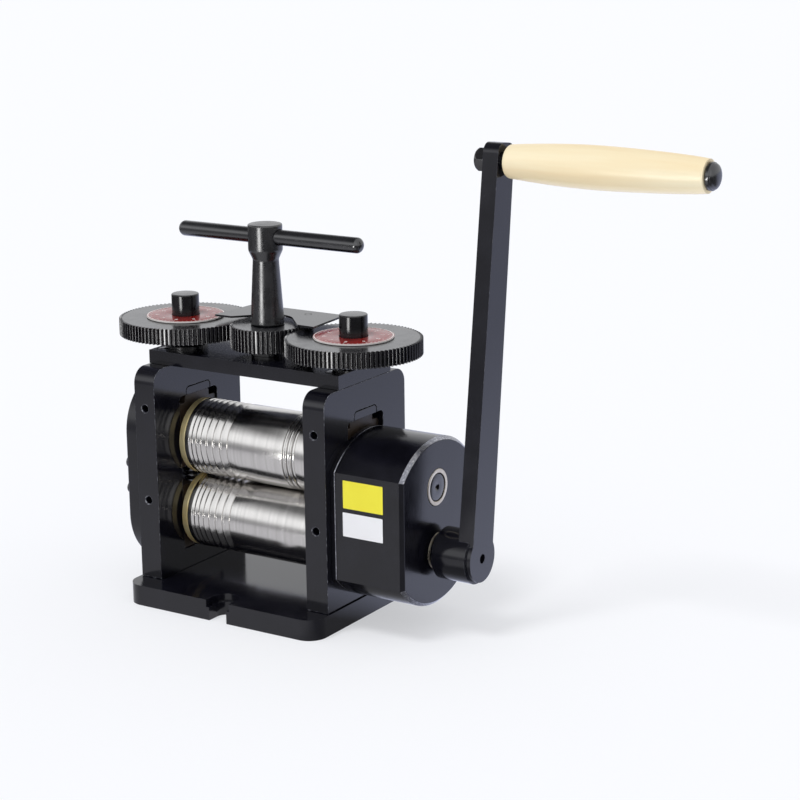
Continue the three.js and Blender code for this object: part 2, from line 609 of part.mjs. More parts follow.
function rollerShaft(level) {
  const upper = level === "upper";
  const end = ROLLER_LENGTH / 2;
  const leftEndX = -(rollerGearX + ROLLER_GEAR_FACE + SHAFT_STANDOUT);
  const left = [[0, leftEndX], [SHAFT_RADIUS - CHAMFER, leftEndX], [SHAFT_RADIUS, leftEndX + CHAMFER],
    [SHAFT_RADIUS, -blockEndX], [JOURNAL_RADIUS, -blockEndX], [JOURNAL_RADIUS, -end]];
  const barrel = [[ROLLER_RADIUS - CHAMFER, -end], [ROLLER_RADIUS, -end + CHAMFER], ...wireGrooveProfile(),
    ...(upper ? halfRoundProfile() : []), [ROLLER_RADIUS, end - CHAMFER], [ROLLER_RADIUS - CHAMFER, end]];
  const pilotHole = PILOT_RADIUS + RUNNING;
  const pilotEndX = rollerShaftEndX - PILOT_LENGTH - HOLE_ROOM;
  const plainEnd = [[JOURNAL_RADIUS, end], [JOURNAL_RADIUS, blockEndX - CHAMFER],
    [JOURNAL_RADIUS - CHAMFER, blockEndX], [0, blockEndX]];
  const drivenEnd = [[JOURNAL_RADIUS, end], [JOURNAL_RADIUS, blockEndX], [SHAFT_RADIUS, blockEndX],
    [SHAFT_RADIUS, rollerShaftEndX - CHAMFER], [SHAFT_RADIUS - CHAMFER, rollerShaftEndX],
    [pilotHole, rollerShaftEndX], [pilotHole, pilotEndX], [0, pilotEndX]];
  const right = upper ? plainEnd : drivenEnd;
  return alongX(turned([...left, ...barrel, ...right]), 0, upper ? upperAxisZ : lowerAxisZ);
}

// A gear on a shaft along X, from x0 on, with a tooth at the angle phase.
function gearAlongX(teeth, module, boreRadius, x0, face, axisZ, options) {
  const body = prism(gearOutline(teeth, module, options), x0, x0 + face);
  return alongX(cut(body, rod(boreRadius, x0 - OVERCUT, x0 + face + OVERCUT)), 0, axisZ);
}

const UPWARDS = Math.PI / 2;

function rollerGear(level) {
  const upper = level === "upper";
  // A tooth of the lower gear points up into a gap of the upper gear.
  const phase = upper ? -UPWARDS + Math.PI / ROLLER_GEAR_TEETH : UPWARDS;
  const options = { phase, addendum: 0.98, dedendum: 1.12, fullness: 0.86, steps: 3 };
  const axisZ = upper ? upperAxisZ : lowerAxisZ;
  const x0 = -rollerGearX - ROLLER_GEAR_FACE;
  const bore = SHAFT_RADIUS + FIT;
  return gearAlongX(ROLLER_GEAR_TEETH, rollerGearModule, bore, x0, ROLLER_GEAR_FACE, axisZ, options);
}

// Left gear cover

function stadium(halfWidth, lowerZ, upperZ) {
  const shape = new THREE.Shape();
  shape.absarc(0, lowerZ, halfWidth, Math.PI, 2 * Math.PI, false);
  shape.absarc(0, upperZ, halfWidth, 0, Math.PI, false);
  return shape;
}

function coverScrewPlaces() {
  return [-1, 1].flatMap((sideY) =>
    [-1, 1].map((sideZ) => [sideY * COVER_SCREW_Y, contactZ + sideZ * COVER_SCREW_SPREAD]),
  );
}

function coverScrewHolesInPlate() {
  const depth = COVER_SCREW.length + SEAT - COVER_DEPTH;
  const start = plateOuterX - depth - HOLE_ROOM;
  return coverScrewPlaces().map(([y, z]) =>
    alongX(rod(COVER_SCREW.shank + FIT, start, plateOuterX + OVERCUT, SIDES.tiny), y, z),
  );
}

function leftGearCover() {
  const rim = stadium(COVER_HALF_WIDTH - COVER_CHAMFER, coverLowerZ, coverUpperZ);
  const outer = bevelledAlongX(rim, coverOpenX, coverEndX, COVER_CHAMFER);
  const inner = stadium(COVER_HALF_WIDTH - COVER_WALL, coverLowerZ, coverUpperZ);
  const cavity = alongX(prism(inner, coverOpenX - OVERCUT, coverEndX - COVER_WALL, ARC_STEPS.large));
  const shell = cut(outer, cavity);
  const bosses = coverScrewPlaces().map(([y, z]) =>
    alongX(rod(COVER_SCREW.shank + COVER_WALL, coverOpenX, coverEndX - COVER_WALL + OVERLAP, SIDES.small), y, z),
  );
  const holes = coverScrewPlaces().map(([y, z]) =>
    alongX(rod(COVER_SCREW.shank + FIT, coverOpenX - OVERCUT, coverEndX + OVERCUT, SIDES.tiny), y, z),
  );
  return mirrored(cut(join(shell, ...bosses), ...holes));
}

// An outline along X from x0 to x1, grown by the chamfer all round but for its chamfered far end.
function bevelledAlongX(outline, x0, x1, chamfer) {
  const extruded = new THREE.ExtrudeGeometry(outline, {
    depth: x1 - x0,
    bevelEnabled: true,
    bevelThickness: chamfer,
    bevelSize: chamfer,
    bevelSegments: 1,
    curveSegments: ARC_STEPS.large,
  });
  const shifted = alongX(extruded.translate(0, 0, x0 - chamfer));
  const reach = 500;
  return cut(shifted, block([x0 - reach, -reach, -reach], [x0, reach, reach]));
}

// Reduction gearbox

function housingOutline(inset = 0) {
  const radius = HOUSING_RADIUS - inset;
  const half = HOUSING_HALF_WIDTH - inset;
  const edge = Math.acos(half / radius);
  const shape = new THREE.Shape();
  shape.absarc(0, housingCentreZ, radius, edge, Math.PI - edge, false);
  shape.absarc(0, housingCentreZ, radius, Math.PI + edge, 2 * Math.PI - edge, false);
  return shape;
}

function gearboxScrewPlaces() {
  return [-1, 1].flatMap((sideY) =>
    [-1, 1].map((sideZ) => [sideY * GEARBOX_SCREW_Y, housingCentreZ + sideZ * GEARBOX_SCREW_SPREAD]),
  );
}

function gearboxScrewHolesInPlate() {
  const headEndX = plateInnerX + GEARBOX_SCREW.headHeight + SEAT;
  return gearboxScrewPlaces().flatMap(([y, z]) => [
    alongX(rod(GEARBOX_SCREW.shank + FIT, plateInnerX - OVERCUT, plateOuterX + OVERCUT, SIDES.tiny), y, z),
    alongX(rod(GEARBOX_SCREW.head + FIT, plateInnerX - OVERCUT, headEndX, SIDES.tiny), y, z),
  ]);
}

function gearboxFlange() {
  const plate = alongX(prism(housingOutline(), flangeInnerX, flangeOuterX, ARC_STEPS.large));
  const bossEndX = flangeOuterX + INNER_BOSS_LENGTH;
  const boss = alongX(rod(INNER_BOSS_RADIUS, flangeOuterX - OVERLAP, bossEndX), 0, countershaftZ);
  const shaftHole = rod(SHAFT_RADIUS + FIT, flangeInnerX - OVERCUT, flangeOuterX + OVERCUT);
  const tailBore = COUNTERSHAFT_TAIL_RADIUS + RUNNING;
  const tailHole = alongX(rod(tailBore, flangeInnerX + TAIL_HOLE_FLOOR, bossEndX + OVERCUT), 0, countershaftZ);
  const screwHoles = gearboxScrewPlaces().map(([y, z]) =>
    alongX(rod(GEARBOX_SCREW.shank + FIT, flangeInnerX - OVERCUT, flangeOuterX + OVERCUT, SIDES.tiny), y, z),
  );
  return cut(join(plate, boss), alongX(shaftHole, 0, lowerAxisZ), tailHole, ...screwHoles);
}

function gearboxHousing() {
  const outer = bevelledAlongX(housingOutline(HOUSING_CHAMFER), housingStartX, housingEndX, HOUSING_CHAMFER);
  const innerWallX = housingEndX - HOUSING_END_WALL;
  const axes = [lowerAxisZ, countershaftZ];
  const cavities = axes.map((z) =>
    alongX(rod(CAVITY_RADIUS, housingStartX - OVERCUT, innerWallX, SIDES.large), 0, z),
  );
  const bosses = axes.map((z) =>
    alongX(rod(BEARING_BOSS_RADIUS, innerWallX - BEARING_BOSS_LENGTH, innerWallX + OVERLAP), 0, z),
  );
  const bushHoles = axes.map((z) =>
    alongX(rod(BUSH_RADIUS + FIT, innerWallX - BEARING_BOSS_LENGTH - OVERCUT, housingEndX + OVERCUT), 0, z),
  );
  const screwEndX = plateInnerX + SEAT + GEARBOX_SCREW.headHeight + GEARBOX_SCREW.length + HOLE_ROOM;
  const screwHoles = gearboxScrewPlaces().map(([y, z]) =>
    alongX(rod(GEARBOX_SCREW.shank + FIT, housingStartX - OVERCUT, screwEndX, SIDES.tiny), y, z),
  );
  return cut(join(cut(outer, ...cavities), ...bosses), ...bushHoles, ...screwHoles);
}

function bearingBush(shaftRadius, axisZ) {
  const start = housingEndX - HOUSING_END_WALL - BEARING_BOSS_LENGTH;
  const body = rod(BUSH_RADIUS, start, bushOuterX);
  return alongX(cut(body, rod(shaftRadius + RUNNING, start - OVERCUT, bushOuterX + OVERCUT)), 0, axisZ);
}

const REDUCTION_FULLNESS = 0.78;

function reductionGear(axisZ, x0, boreRadius, phase) {
  const options = { phase, fullness: REDUCTION_FULLNESS };
  return gearAlongX(LARGE_TEETH, reductionModule, boreRadius + FIT, x0, GEAR_FACE, axisZ, options);
}

// The small gear that is cut in one piece with its shaft, about Z.
function shaftPinion(x0, phase) {
  const outline = gearOutline(SMALL_TEETH, reductionModule, { phase, fullness: REDUCTION_FULLNESS });
  return prism(outline, x0, x0 + GEAR_FACE);
}

function countershaft() {
  const tailStart = flangeInnerX + TAIL_HOLE_FLOOR + END_PLAY;
  const tailEnd = flangeOuterX + INNER_BOSS_LENGTH + END_PLAY;
  const end = bushOuterX - COUNTERSHAFT_SET_BACK;
  const profile = [[0, tailStart], [COUNTERSHAFT_TAIL_RADIUS, tailStart], [COUNTERSHAFT_TAIL_RADIUS, tailEnd],
    [COUNTERSHAFT_RADIUS, tailEnd], [COUNTERSHAFT_RADIUS, end - CHAMFER], [COUNTERSHAFT_RADIUS - CHAMFER, end],
    [COUNTERSHAFT_DIMPLE, end], [0, end - COUNTERSHAFT_DIMPLE]];
  return alongX(join(turned(profile), shaftPinion(innerPlaneX, -UPWARDS)), 0, countershaftZ);
}

// Crank

function crankShaft() {
  const start = rollerShaftEndX + SHAFT_END_ROOM;
  const squareStart = hubStartX - FIT;
  const round = turned([[0, rollerShaftEndX - PILOT_LENGTH], [PILOT_RADIUS, rollerShaftEndX - PILOT_LENGTH],
    [PILOT_RADIUS, start], [CRANK_SHAFT_RADIUS, start], [CRANK_SHAFT_RADIUS, squareStart], [0, squareStart]]);
  const half = SQUARE_WIDTH / 2;
  const square = block([-half, -half, squareStart - OVERCUT], [half, half, hubStartX + SQUARE_LENGTH - SEAT]);
  // The crank group leans back, so the pinion is turned forward again to stay in mesh.
  const phase = UPWARDS + THREE.MathUtils.degToRad(CRANK_TILT);
  return alongX(join(round, square, shaftPinion(outerPlaneX, phase)));
}

// The arm stands upright about its shaft's axis at the origin; the crank group leans it back.
function crankArm() {
  const lowerHalf = CRANK_ARM_LOWER_WIDTH / 2;
  const upperHalf = CRANK_ARM_UPPER_WIDTH / 2;
  const cornerX = upperHalf - CRANK_ARM_CORNER;
  const cornerY = CRANK_RADIUS + CRANK_ARM_OVERHANG - CRANK_ARM_CORNER;
  const outline = new THREE.Shape();
  outline.moveTo(-lowerHalf, 0);
  outline.lineTo(lowerHalf, 0);
  outline.absarc(cornerX, cornerY, CRANK_ARM_CORNER, 0, Math.PI / 2, false);
  outline.absarc(-cornerX, cornerY, CRANK_ARM_CORNER, Math.PI / 2, Math.PI, false);
  const bar = prism(outline, armInnerX, armOuterX, ARC_STEPS.small);
  const foot = rod(CRANK_ARM_FOOT_RADIUS, armInnerX, armOuterX, SIDES.large);
  const hubEndX = armOuterX - CRANK_ARM_STANDOUT;
  const hub = turned([[0, hubStartX], [CRANK_HUB_RADIUS - CRANK_HUB_LEAD, hubStartX],
    [CRANK_HUB_RADIUS, hubStartX + CRANK_HUB_LEAD], [CRANK_HUB_RADIUS, hubEndX], [0, hubEndX]], SIDES.large);
  const half = SQUARE_WIDTH / 2 + FIT;
  const socket = block([-half, -half, hubStartX - OVERCUT], [half, half, hubStartX + SQUARE_LENGTH]);
  const faceHole = rod(CRANK_FACE_HOLE_RADIUS, hubStartX, armOuterX + OVERCUT, SIDES.small);
  const gripHole = rod(BOLT_THREAD_RADIUS + FIT, armInnerX - OVERCUT, armOuterX + OVERCUT, SIDES.small);
  gripHole.translate(0, CRANK_RADIUS, 0);
  const screwHole = acrossHub(SET_SCREW_RADIUS + FIT, 0, CRANK_HUB_RADIUS + OVERCUT);
  return alongX(cut(join(bar, foot, hub), socket, faceHole, gripHole, screwHole));
}

// A rod that runs straight down from the crank's axis through the underside of its hub.
function acrossHub(radius, from, to) {
  return rod(radius, from, to, SIDES.tiny).rotateX(Math.PI / 2).translate(0, 0, hubStartX + SET_SCREW_PLACE);
}

function crankSetScrew() {
  const start = SQUARE_WIDTH / 2 + SEAT;
  return alongX(acrossHub(SET_SCREW_RADIUS, start, start + SET_SCREW_LENGTH));
}

function grip() {
  const start = armOuterX + GRIP_GAP;
  const outside = GRIP_RADII.map((radius, i) => [radius, start + GRIP_STATIONS[i] * GRIP_LENGTH]);
  const body = turned([[0, start], ...outside, [0, start + GRIP_LENGTH]]);
  const bore = rod(GRIP_BORE_RADIUS, start - OVERCUT, start + GRIP_LENGTH + OVERCUT);
  return alongX(cut(body, bore), 0, CRANK_RADIUS);
}

function handleBolt() {
  const tail = armInnerX - SEAT - NUT_HEIGHT - BOLT_TAIL;
  const shoulder = armOuterX + SEAT;
  const headStart = armOuterX + GRIP_GAP + GRIP_LENGTH + GRIP_PLAY;
  const dome = [[1, 0], [1, 0.45], [0.86, 0.74], [0.58, 0.92], [0, 1]].map(([radius, rise]) => [
    radius * BOLT_HEAD_RADIUS,
    headStart + rise * BOLT_HEAD_HEIGHT,
  ]);
  const profile = [[0, tail], [BOLT_THREAD_RADIUS - CHAMFER, tail], [BOLT_THREAD_RADIUS, tail + CHAMFER],
    [BOLT_THREAD_RADIUS, shoulder], [BOLT_SHOULDER_RADIUS, shoulder],
    [BOLT_SHOULDER_RADIUS, headStart], ...dome];
  return alongX(turned(profile), 0, CRANK_RADIUS);
}

function handleNut() {
  const end = armInnerX - SEAT;
  const body = prism(hexagon(NUT_WIDTH), end - NUT_HEIGHT, end);
  const thread = rod(BOLT_THREAD_RADIUS + FIT, end - NUT_HEIGHT - OVERCUT, end + OVERCUT, SIDES.small);
  return alongX(cut(body, thread), 0, CRANK_RADIUS);
}

// Gap setting gear on top

function adjustingScrew(side) {
  const tip = bossTopZ + SEAT;
  const profile = [[0, tip], [SCREW_RADIUS - CHAMFER, tip], [SCREW_RADIUS, tip + CHAMFER],
    [SCREW_RADIUS, postBottomZ], [POST_RADIUS, postBottomZ], [POST_RADIUS, postTopZ - POST_CHAMFER],
    [POST_RADIUS - POST_CHAMFER, postTopZ], [0, postTopZ]];
  const half = KEY_WIDTH / 2 + SEAT;
  const keyway = block(
    [POST_RADIUS - KEY_SEAT - SEAT, -half, keyBottomZ - SEAT],
    [POST_RADIUS + OVERCUT, half, keyTopZ + SEAT],
  );
  return cut(turned(profile), keyway).translate(side * screwX, 0, 0);
}

function screwKey(side) {
  const half = KEY_WIDTH / 2;
  const key = block([POST_RADIUS - KEY_SEAT, -half, keyBottomZ], [POST_RADIUS + KEY_STANDOUT, half, keyTopZ]);
  return key.translate(side * screwX, 0, 0);
}

function dialGear(side) {
  // The pinion has a tooth towards the right gear and a gap towards the left one.
  const phase = side > 0 ? Math.PI + Math.PI / DIAL_GEAR_TEETH : 0;
  const rim = prism(gearOutline(DIAL_GEAR_TEETH, settingModule, { phase }), dialGearBottomZ, dialGearTopZ);
  const hub = rod(DIAL_HUB_RADIUS, crossheadTopZ + SEAT, dialGearBottomZ + OVERLAP);
  const bottom = crossheadTopZ - OVERCUT;
  const top = dialGearTopZ + OVERCUT;
  const half = KEY_WIDTH / 2 + FIT;
  const keyway = block([0, -half, bottom], [POST_RADIUS + KEY_STANDOUT + FIT, half, top]);
  return cut(join(rim, hub), rod(POST_RADIUS + FIT, bottom, top), keyway).translate(side * screwX, 0, 0);
}

function dialPlate(side) {
  const bottom = dialGearTopZ + SEAT;
  const body = rod(DIAL_RADIUS, bottom, bottom + DIAL_THICKNESS, SIDES.large);
  const hole = rod(POST_RADIUS + FIT, bottom - OVERCUT, bottom + DIAL_THICKNESS + OVERCUT);
  return cut(body, hole).translate(side * screwX, 0, 0);
}

function pinionStud() {
  const flangeBottom = crossheadTopZ + SEAT;
  const flangeTop = pinionBottomZ - SEAT;
  const top = crossheadTopZ + STUD_HEIGHT;
  return turned([[0, crossheadBottomZ], [STUD_THREAD_RADIUS, crossheadBottomZ],
    [STUD_THREAD_RADIUS, flangeBottom],
    [STUD_FLANGE_RADIUS, flangeBottom], [STUD_FLANGE_RADIUS, flangeTop], [STUD_RADIUS, flangeTop],
    [STUD_RADIUS, top - CHAMFER], [STUD_RADIUS - CHAMFER, top], [0, top]]);
}

function pinionGear() {
  const rim = prism(gearOutline(PINION_TEETH, settingModule), pinionBottomZ, pinionTopZ);
  return cut(rim, rod(HUB_SPIGOT_RADIUS + FIT, pinionBottomZ - OVERCUT, pinionTopZ + OVERCUT));
}

// Heights of the T-handle's post
function postHeights() {
  const coneBottom = pinionTopZ + SEAT;
  const coneTop = coneBottom + HUB_CONE_HEIGHT;
  const headBottom = coneTop + HUB_NECK_HEIGHT;
  const headTop = headBottom + HUB_HEAD_HEIGHT;
  return { coneBottom, coneTop, headBottom, headTop, barZ: headTop - BAR_BELOW_TOP };
}

function tHandlePost() {
  const { coneBottom, coneTop, headBottom, headTop, barZ } = postHeights();
  const body = turned([[0, pinionBottomZ], [HUB_SPIGOT_RADIUS, pinionBottomZ], [HUB_SPIGOT_RADIUS, coneBottom],
    [HUB_LOWER_RADIUS, coneBottom], [HUB_UPPER_RADIUS, coneTop], [HUB_HEAD_RADIUS, headBottom],
    [HUB_HEAD_RADIUS, headTop - CHAMFER], [HUB_HEAD_RADIUS - CHAMFER, headTop], [0, headTop]]);
  const studHole = rod(STUD_RADIUS + RUNNING, pinionBottomZ - OVERCUT, crossheadTopZ + STUD_HEIGHT + HOLE_ROOM);
  const reach = HUB_HEAD_RADIUS + OVERCUT;
  const barHole = alongX(rod(BAR_RADIUS + FIT, -reach, reach), 0, barZ);
  return cut(body, studHole, barHole);
}

function tHandleBar() {
  const half = BAR_LENGTH / 2;
  const dome = [[0, 0], [0.5, 0.15], [0.86, 0.5], [1, 1]];
  const left = dome.map(([radius, rise]) => [radius * BAR_RADIUS, -half + rise * BAR_DOME]);
  const right = [...left].reverse().map(([radius, z]) => [radius, -z]);
  return alongX(turned([...left, ...right], SIDES.small), 0, postHeights().barZ).translate(BAR_OFFSET, 0, 0);
}

// Pointer plate

function pointerPlate() {
  const tipX = screwX - DIAL_RADIUS - POINTER_TIP_GAP;
  const backX = tipX - POINTER_TAPER;
  const cornerX = backX - POINTER_CORNER;
  const notch = new THREE.Vector2(POINTER_WING_X, POINTER_TIP_Y + POINTER_WING_DROP);
  const reach = Math.atan2(notch.y, notch.x);
  const tangent = reach + Math.acos(POINTER_HUB_RADIUS / notch.length());
  const shape = new THREE.Shape();
  shape.moveTo(notch.x, notch.y);
  shape.lineTo(tipX, POINTER_TIP_Y);
  shape.lineTo(backX, POINTER_BACK_Y - POINTER_CORNER);
  shape.lineTo(cornerX, POINTER_BACK_Y);
  shape.lineTo(-cornerX, POINTER_BACK_Y);
  shape.lineTo(-backX, POINTER_BACK_Y - POINTER_CORNER);
  shape.lineTo(-tipX, POINTER_TIP_Y);
  shape.lineTo(-notch.x, notch.y);
  shape.absarc(0, 0, POINTER_HUB_RADIUS, Math.PI - tangent, tangent, true);
  const top = pointerBottomZ + POINTER_THICKNESS;
  const rivetHoles = [-1, 1].map((side) => {
    const hole = rod(STANDOFF_PIN_RADIUS + FIT, pointerBottomZ - OVERCUT, top + OVERCUT, SIDES.tiny);
    return hole.translate(side * STANDOFF_X, STANDOFF_Y, 0);
  });
  return cut(prism(shape, pointerBottomZ, top, ARC_STEPS.large), ...rivetHoles);
}

// A pillar from the crosshead to the pointer plate, with a pin at each end.
function pointerStandoff(side) {
  const bottom = crossheadTopZ + SEAT;
  const top = pointerBottomZ - SEAT;
  return turned([[0, crossheadBottomZ], [STANDOFF_PIN_RADIUS, crossheadBottomZ], [STANDOFF_PIN_RADIUS, bottom],
    [STANDOFF_RADIUS, bottom], [STANDOFF_RADIUS, top], [STANDOFF_PIN_RADIUS, top],
    [STANDOFF_PIN_RADIUS, pointerBottomZ + POINTER_THICKNESS], [0, pointerBottomZ + POINTER_THICKNESS]],
  SIDES.tiny).translate(side * STANDOFF_X, STANDOFF_Y, 0);
}

// Assembly

function finish(color, roughness, metalness) {
  return { color, roughness, metalness };
}

const BLACK_PAINT = finish(0x1b1c21, 0.45, 0.2);
const BLACK_STEEL = finish(0x17181b, 0.38, 0.6);
const POLISHED_STEEL = finish(0xc9cbd0, 0.18, 1);
const BRIGHT_STEEL = finish(0x9a9ca1, 0.3, 1);
const BRONZE = finish(0xa9803f, 0.35, 1);
const DIAL_RED = finish(0x8e1220, 0.3, 0.1);
const BEECH = finish(0xd8b583, 0.6, 0);

const mill = new THREE.Group();
const crank = new THREE.Group();
crank.position.set(0, 0, lowerAxisZ);
crank.rotation.x = THREE.MathUtils.degToRad(-CRANK_TILT);
mill.add(crank);

function add(name, geometry, look, parent = mill) {
  const material = new THREE.MeshStandardMaterial({ ...look, flatShading: true });
  const mesh = new THREE.Mesh(geometry, material);
  mesh.name = name;
  parent.add(mesh);
}

function addNumbered(name, geometries, look) {
  geometries.forEach((geometry, i) => add(`${name}_${i + 1}`, geometry, look));
}

const SIDES_OF_MILL = [["left", -1], ["right", 1]];

add("base_plate", basePlate(), BLACK_PAINT);
add("crosshead", crosshead(), BLACK_PAINT);
for (const [word, side] of SIDES_OF_MILL) {
  add(`side_plate_${word}`, sidePlate(side), BLACK_PAINT);
  add(`lower_bearing_${word}`, bearingBlock(side, "lower"), BRONZE);
  add(`upper_bearing_${word}`, bearingBlock(side, "upper"), BRONZE);
  add(`return_spring_${word}`, returnSpring(side), BRIGHT_STEEL);
}
addNumbered(
  "base_screw",
  frameScrewPlaces(BASE_SCREW_Y).map(([x, y]) =>
    countersunkScrew(BASE_SCREW).rotateX(Math.PI).translate(x, y, 0),
  ),
  BLACK_STEEL,
);
addNumbered(
  "crosshead_screw",
  frameScrewPlaces(CROSSHEAD_SCREW_Y).map(([x, y]) =>
    countersunkScrew(CROSSHEAD_SCREW).translate(x, y, crossheadTopZ),
  ),
  BLACK_STEEL,
);

for (const level of ["lower", "upper"]) {
  add(`${level}_roller`, rollerShaft(level), POLISHED_STEEL);
  add(`roller_gear_${level}`, rollerGear(level), BRIGHT_STEEL);
}
add("left_gear_cover", leftGearCover(), BLACK_PAINT);
addNumbered(
  "cover_screw",
  coverScrewPlaces().map(([y, z]) => {
    const seat = coverEndX + SEAT + COVER_SCREW.headHeight;
    return mirrored(alongX(capScrew(COVER_SCREW).translate(0, 0, seat), y, z));
  }),
  BLACK_STEEL,
);

add("gearbox_flange", gearboxFlange(), BLACK_PAINT);
add("gearbox_housing", gearboxHousing(), BLACK_PAINT);
addNumbered(
  "gearbox_screw",
  gearboxScrewPlaces().map(([y, z]) => {
    const screw = capScrew(GEARBOX_SCREW).rotateX(Math.PI).translate(0, 0, plateInnerX + SEAT);
    return alongX(screw, y, z);
  }),
  BLACK_STEEL,
);
const halfTooth = Math.PI / LARGE_TEETH;
add(
  "roller_drive_gear",
  reductionGear(lowerAxisZ, innerPlaneX, SHAFT_RADIUS, UPWARDS + halfTooth),
  BRIGHT_STEEL,
);
add(
  "countershaft_gear",
  reductionGear(countershaftZ, outerPlaneX, COUNTERSHAFT_RADIUS, -UPWARDS + halfTooth),
  BRIGHT_STEEL,
);
add("countershaft", countershaft(), BRIGHT_STEEL);
add("countershaft_bush", bearingBush(COUNTERSHAFT_RADIUS, countershaftZ), BRONZE);
add("crank_bush", bearingBush(CRANK_SHAFT_RADIUS, lowerAxisZ), BRONZE);

add("crank_shaft", crankShaft(), BRIGHT_STEEL, crank);
add("crank_arm", crankArm(), BLACK_STEEL, crank);
add("crank_set_screw", crankSetScrew(), BLACK_STEEL, crank);
add("grip", grip(), BEECH, crank);
add("handle_bolt", handleBolt(), BLACK_STEEL, crank);
add("handle_nut", handleNut(), BLACK_STEEL, crank);

for (const [word, side] of SIDES_OF_MILL) {
  add(`adjusting_screw_${word}`, adjustingScrew(side), BLACK_STEEL);
  add(`screw_key_${word}`, screwKey(side), BRIGHT_STEEL);
  add(`dial_gear_${word}`, dialGear(side), BLACK_STEEL);
  add(`dial_plate_${word}`, dialPlate(side), DIAL_RED);
  add(`pointer_standoff_${word}`, pointerStandoff(side), BLACK_STEEL);
}
add("pinion_stud", pinionStud(), BLACK_STEEL);
add("pinion_gear", pinionGear(), BLACK_STEEL);
add("t_handle_post", tHandlePost(), BLACK_STEEL);
add("t_handle_bar", tHandleBar(), BLACK_STEEL);
add("pointer_plate", pointerPlate(), BLACK_STEEL);

export default mill;
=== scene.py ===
"""Jewellers rolling mill: smooth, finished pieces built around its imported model.

Sizes are millimetres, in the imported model's own frame: X runs along the rollers to the crank,
Y to the back and Z up. Meshes are written in metres.
"""

import logging
import math
from dataclasses import dataclass, field
from enum import Enum
from typing import Any, Sequence

import bmesh
import bpy
from mathutils import Matrix, Vector


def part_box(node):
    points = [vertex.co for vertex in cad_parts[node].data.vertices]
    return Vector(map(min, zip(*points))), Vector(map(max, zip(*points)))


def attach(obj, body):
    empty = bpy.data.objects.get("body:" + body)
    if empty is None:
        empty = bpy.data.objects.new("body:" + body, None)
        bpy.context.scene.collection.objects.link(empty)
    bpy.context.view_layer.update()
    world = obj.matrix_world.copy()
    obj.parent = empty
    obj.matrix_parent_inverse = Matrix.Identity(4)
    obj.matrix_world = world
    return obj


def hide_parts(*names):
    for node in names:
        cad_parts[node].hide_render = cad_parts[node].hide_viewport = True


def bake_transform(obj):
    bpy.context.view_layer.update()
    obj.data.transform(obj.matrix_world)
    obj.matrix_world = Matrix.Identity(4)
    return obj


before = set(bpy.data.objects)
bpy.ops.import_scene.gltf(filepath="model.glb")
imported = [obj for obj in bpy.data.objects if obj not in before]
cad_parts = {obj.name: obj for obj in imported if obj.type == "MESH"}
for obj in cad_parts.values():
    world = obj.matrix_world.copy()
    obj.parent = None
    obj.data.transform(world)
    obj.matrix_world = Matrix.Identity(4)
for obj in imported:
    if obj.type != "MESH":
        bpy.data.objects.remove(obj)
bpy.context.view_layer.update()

MM = 0.001
IMAGE_SIDE = 800  # the photograph's width and height in pixels
OVERCUT = 1  # how far a cutter runs past the face that it opens
ROOM = 0.3  # round a screw or a shaft in its hole
LOG = logging.getLogger("rolling_mill")

Obj = bpy.types.Object
Tree = bpy.types.NodeTree
Socket = bpy.types.NodeSocket
Point = tuple[float, float]
Profile = Sequence[Point]


class Axis(Enum):
    """The direction that a piece is turned about or extruded along."""

    X = "X"
    Z = "Z"

    def at(self, a: float, b: float, along: float) -> tuple[float, float, float]:
        """Returns the point with the two cross coordinates a and b, and along on this axis."""
        return (along, a, b) if self is Axis.X else (a, b, along)


class Side(Enum):
    """The left or right half of the mill."""

    LEFT = "left"
    RIGHT = "right"


class Body(Enum):
    """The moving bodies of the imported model."""

    FRAME = "frame"
    CRANK = "crank"
    GRIP = "grip_sleeve"
    COUNTERSHAFT = "countershaft_group"
    LOWER_ROLLER = "lower_roller_group"
    CARRIAGE = "upper_carriage"
    UPPER_ROLLER = "upper_roller_group"
    T_HANDLE = "t_handle"
    SCREW_LEFT = "screw_left"
    SCREW_RIGHT = "screw_right"
    DIAL_LEFT = "dial_left"
    DIAL_RIGHT = "dial_right"


@dataclass(frozen=True)
class Span:
    """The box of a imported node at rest, in millimetres."""

    low: Vector
    high: Vector

    @classmethod
    def of(cls, node: str) -> "Span":
        """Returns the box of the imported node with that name."""
        return cls(*(Vector(corner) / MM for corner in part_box(node)))

    @property
    def centre(self) -> Vector:
        """Returns the box's middle."""
        return (self.low + self.high) / 2

    @property
    def size(self) -> Vector:
        """Returns the box's three lengths."""
        return self.high - self.low


def numbered(stem: str) -> list[str]:
    """Returns the names of the four packed screws that start with stem."""
    return [f"{stem}_{number}" for number in range(1, 5)]


def centres(stem: str) -> list[Vector]:
    """Returns the middles of those four screws."""
    return [Span.of(node).centre for node in numbered(stem)]


# Mesh tools


def linked(name: str, data: Any) -> Obj:
    """Makes an object of that data and links it to the scene."""
    obj = bpy.data.objects.new(name, data)
    bpy.context.scene.collection.objects.link(obj)
    return obj


def mesh_object(name: str, vertices: Sequence[Sequence[float]], faces: Sequence[Sequence[int]]) -> Obj:
    """Makes a mesh object with its faces pointing out.

    Args:
        name: the object's name.
        vertices: the points, in millimetres.
        faces: the faces, as indices of points.

    Returns:
        The linked object.
    """
    mesh = bpy.data.meshes.new(name)
    mesh.from_pydata([[value * MM for value in vertex] for vertex in vertices], [], faces)
    obj = linked(name, mesh)
    face_outwards(obj)
    return obj


def face_outwards(obj: Obj, gap: float = 1e-7) -> None:
    """Merges points that are no more than gap metres apart, and turns every face outwards."""
    work = bmesh.new()
    work.from_mesh(obj.data)
    bmesh.ops.remove_doubles(work, verts=work.verts, dist=gap)
    bmesh.ops.recalc_face_normals(work, faces=work.faces)
    work.to_mesh(obj.data)
    work.free()


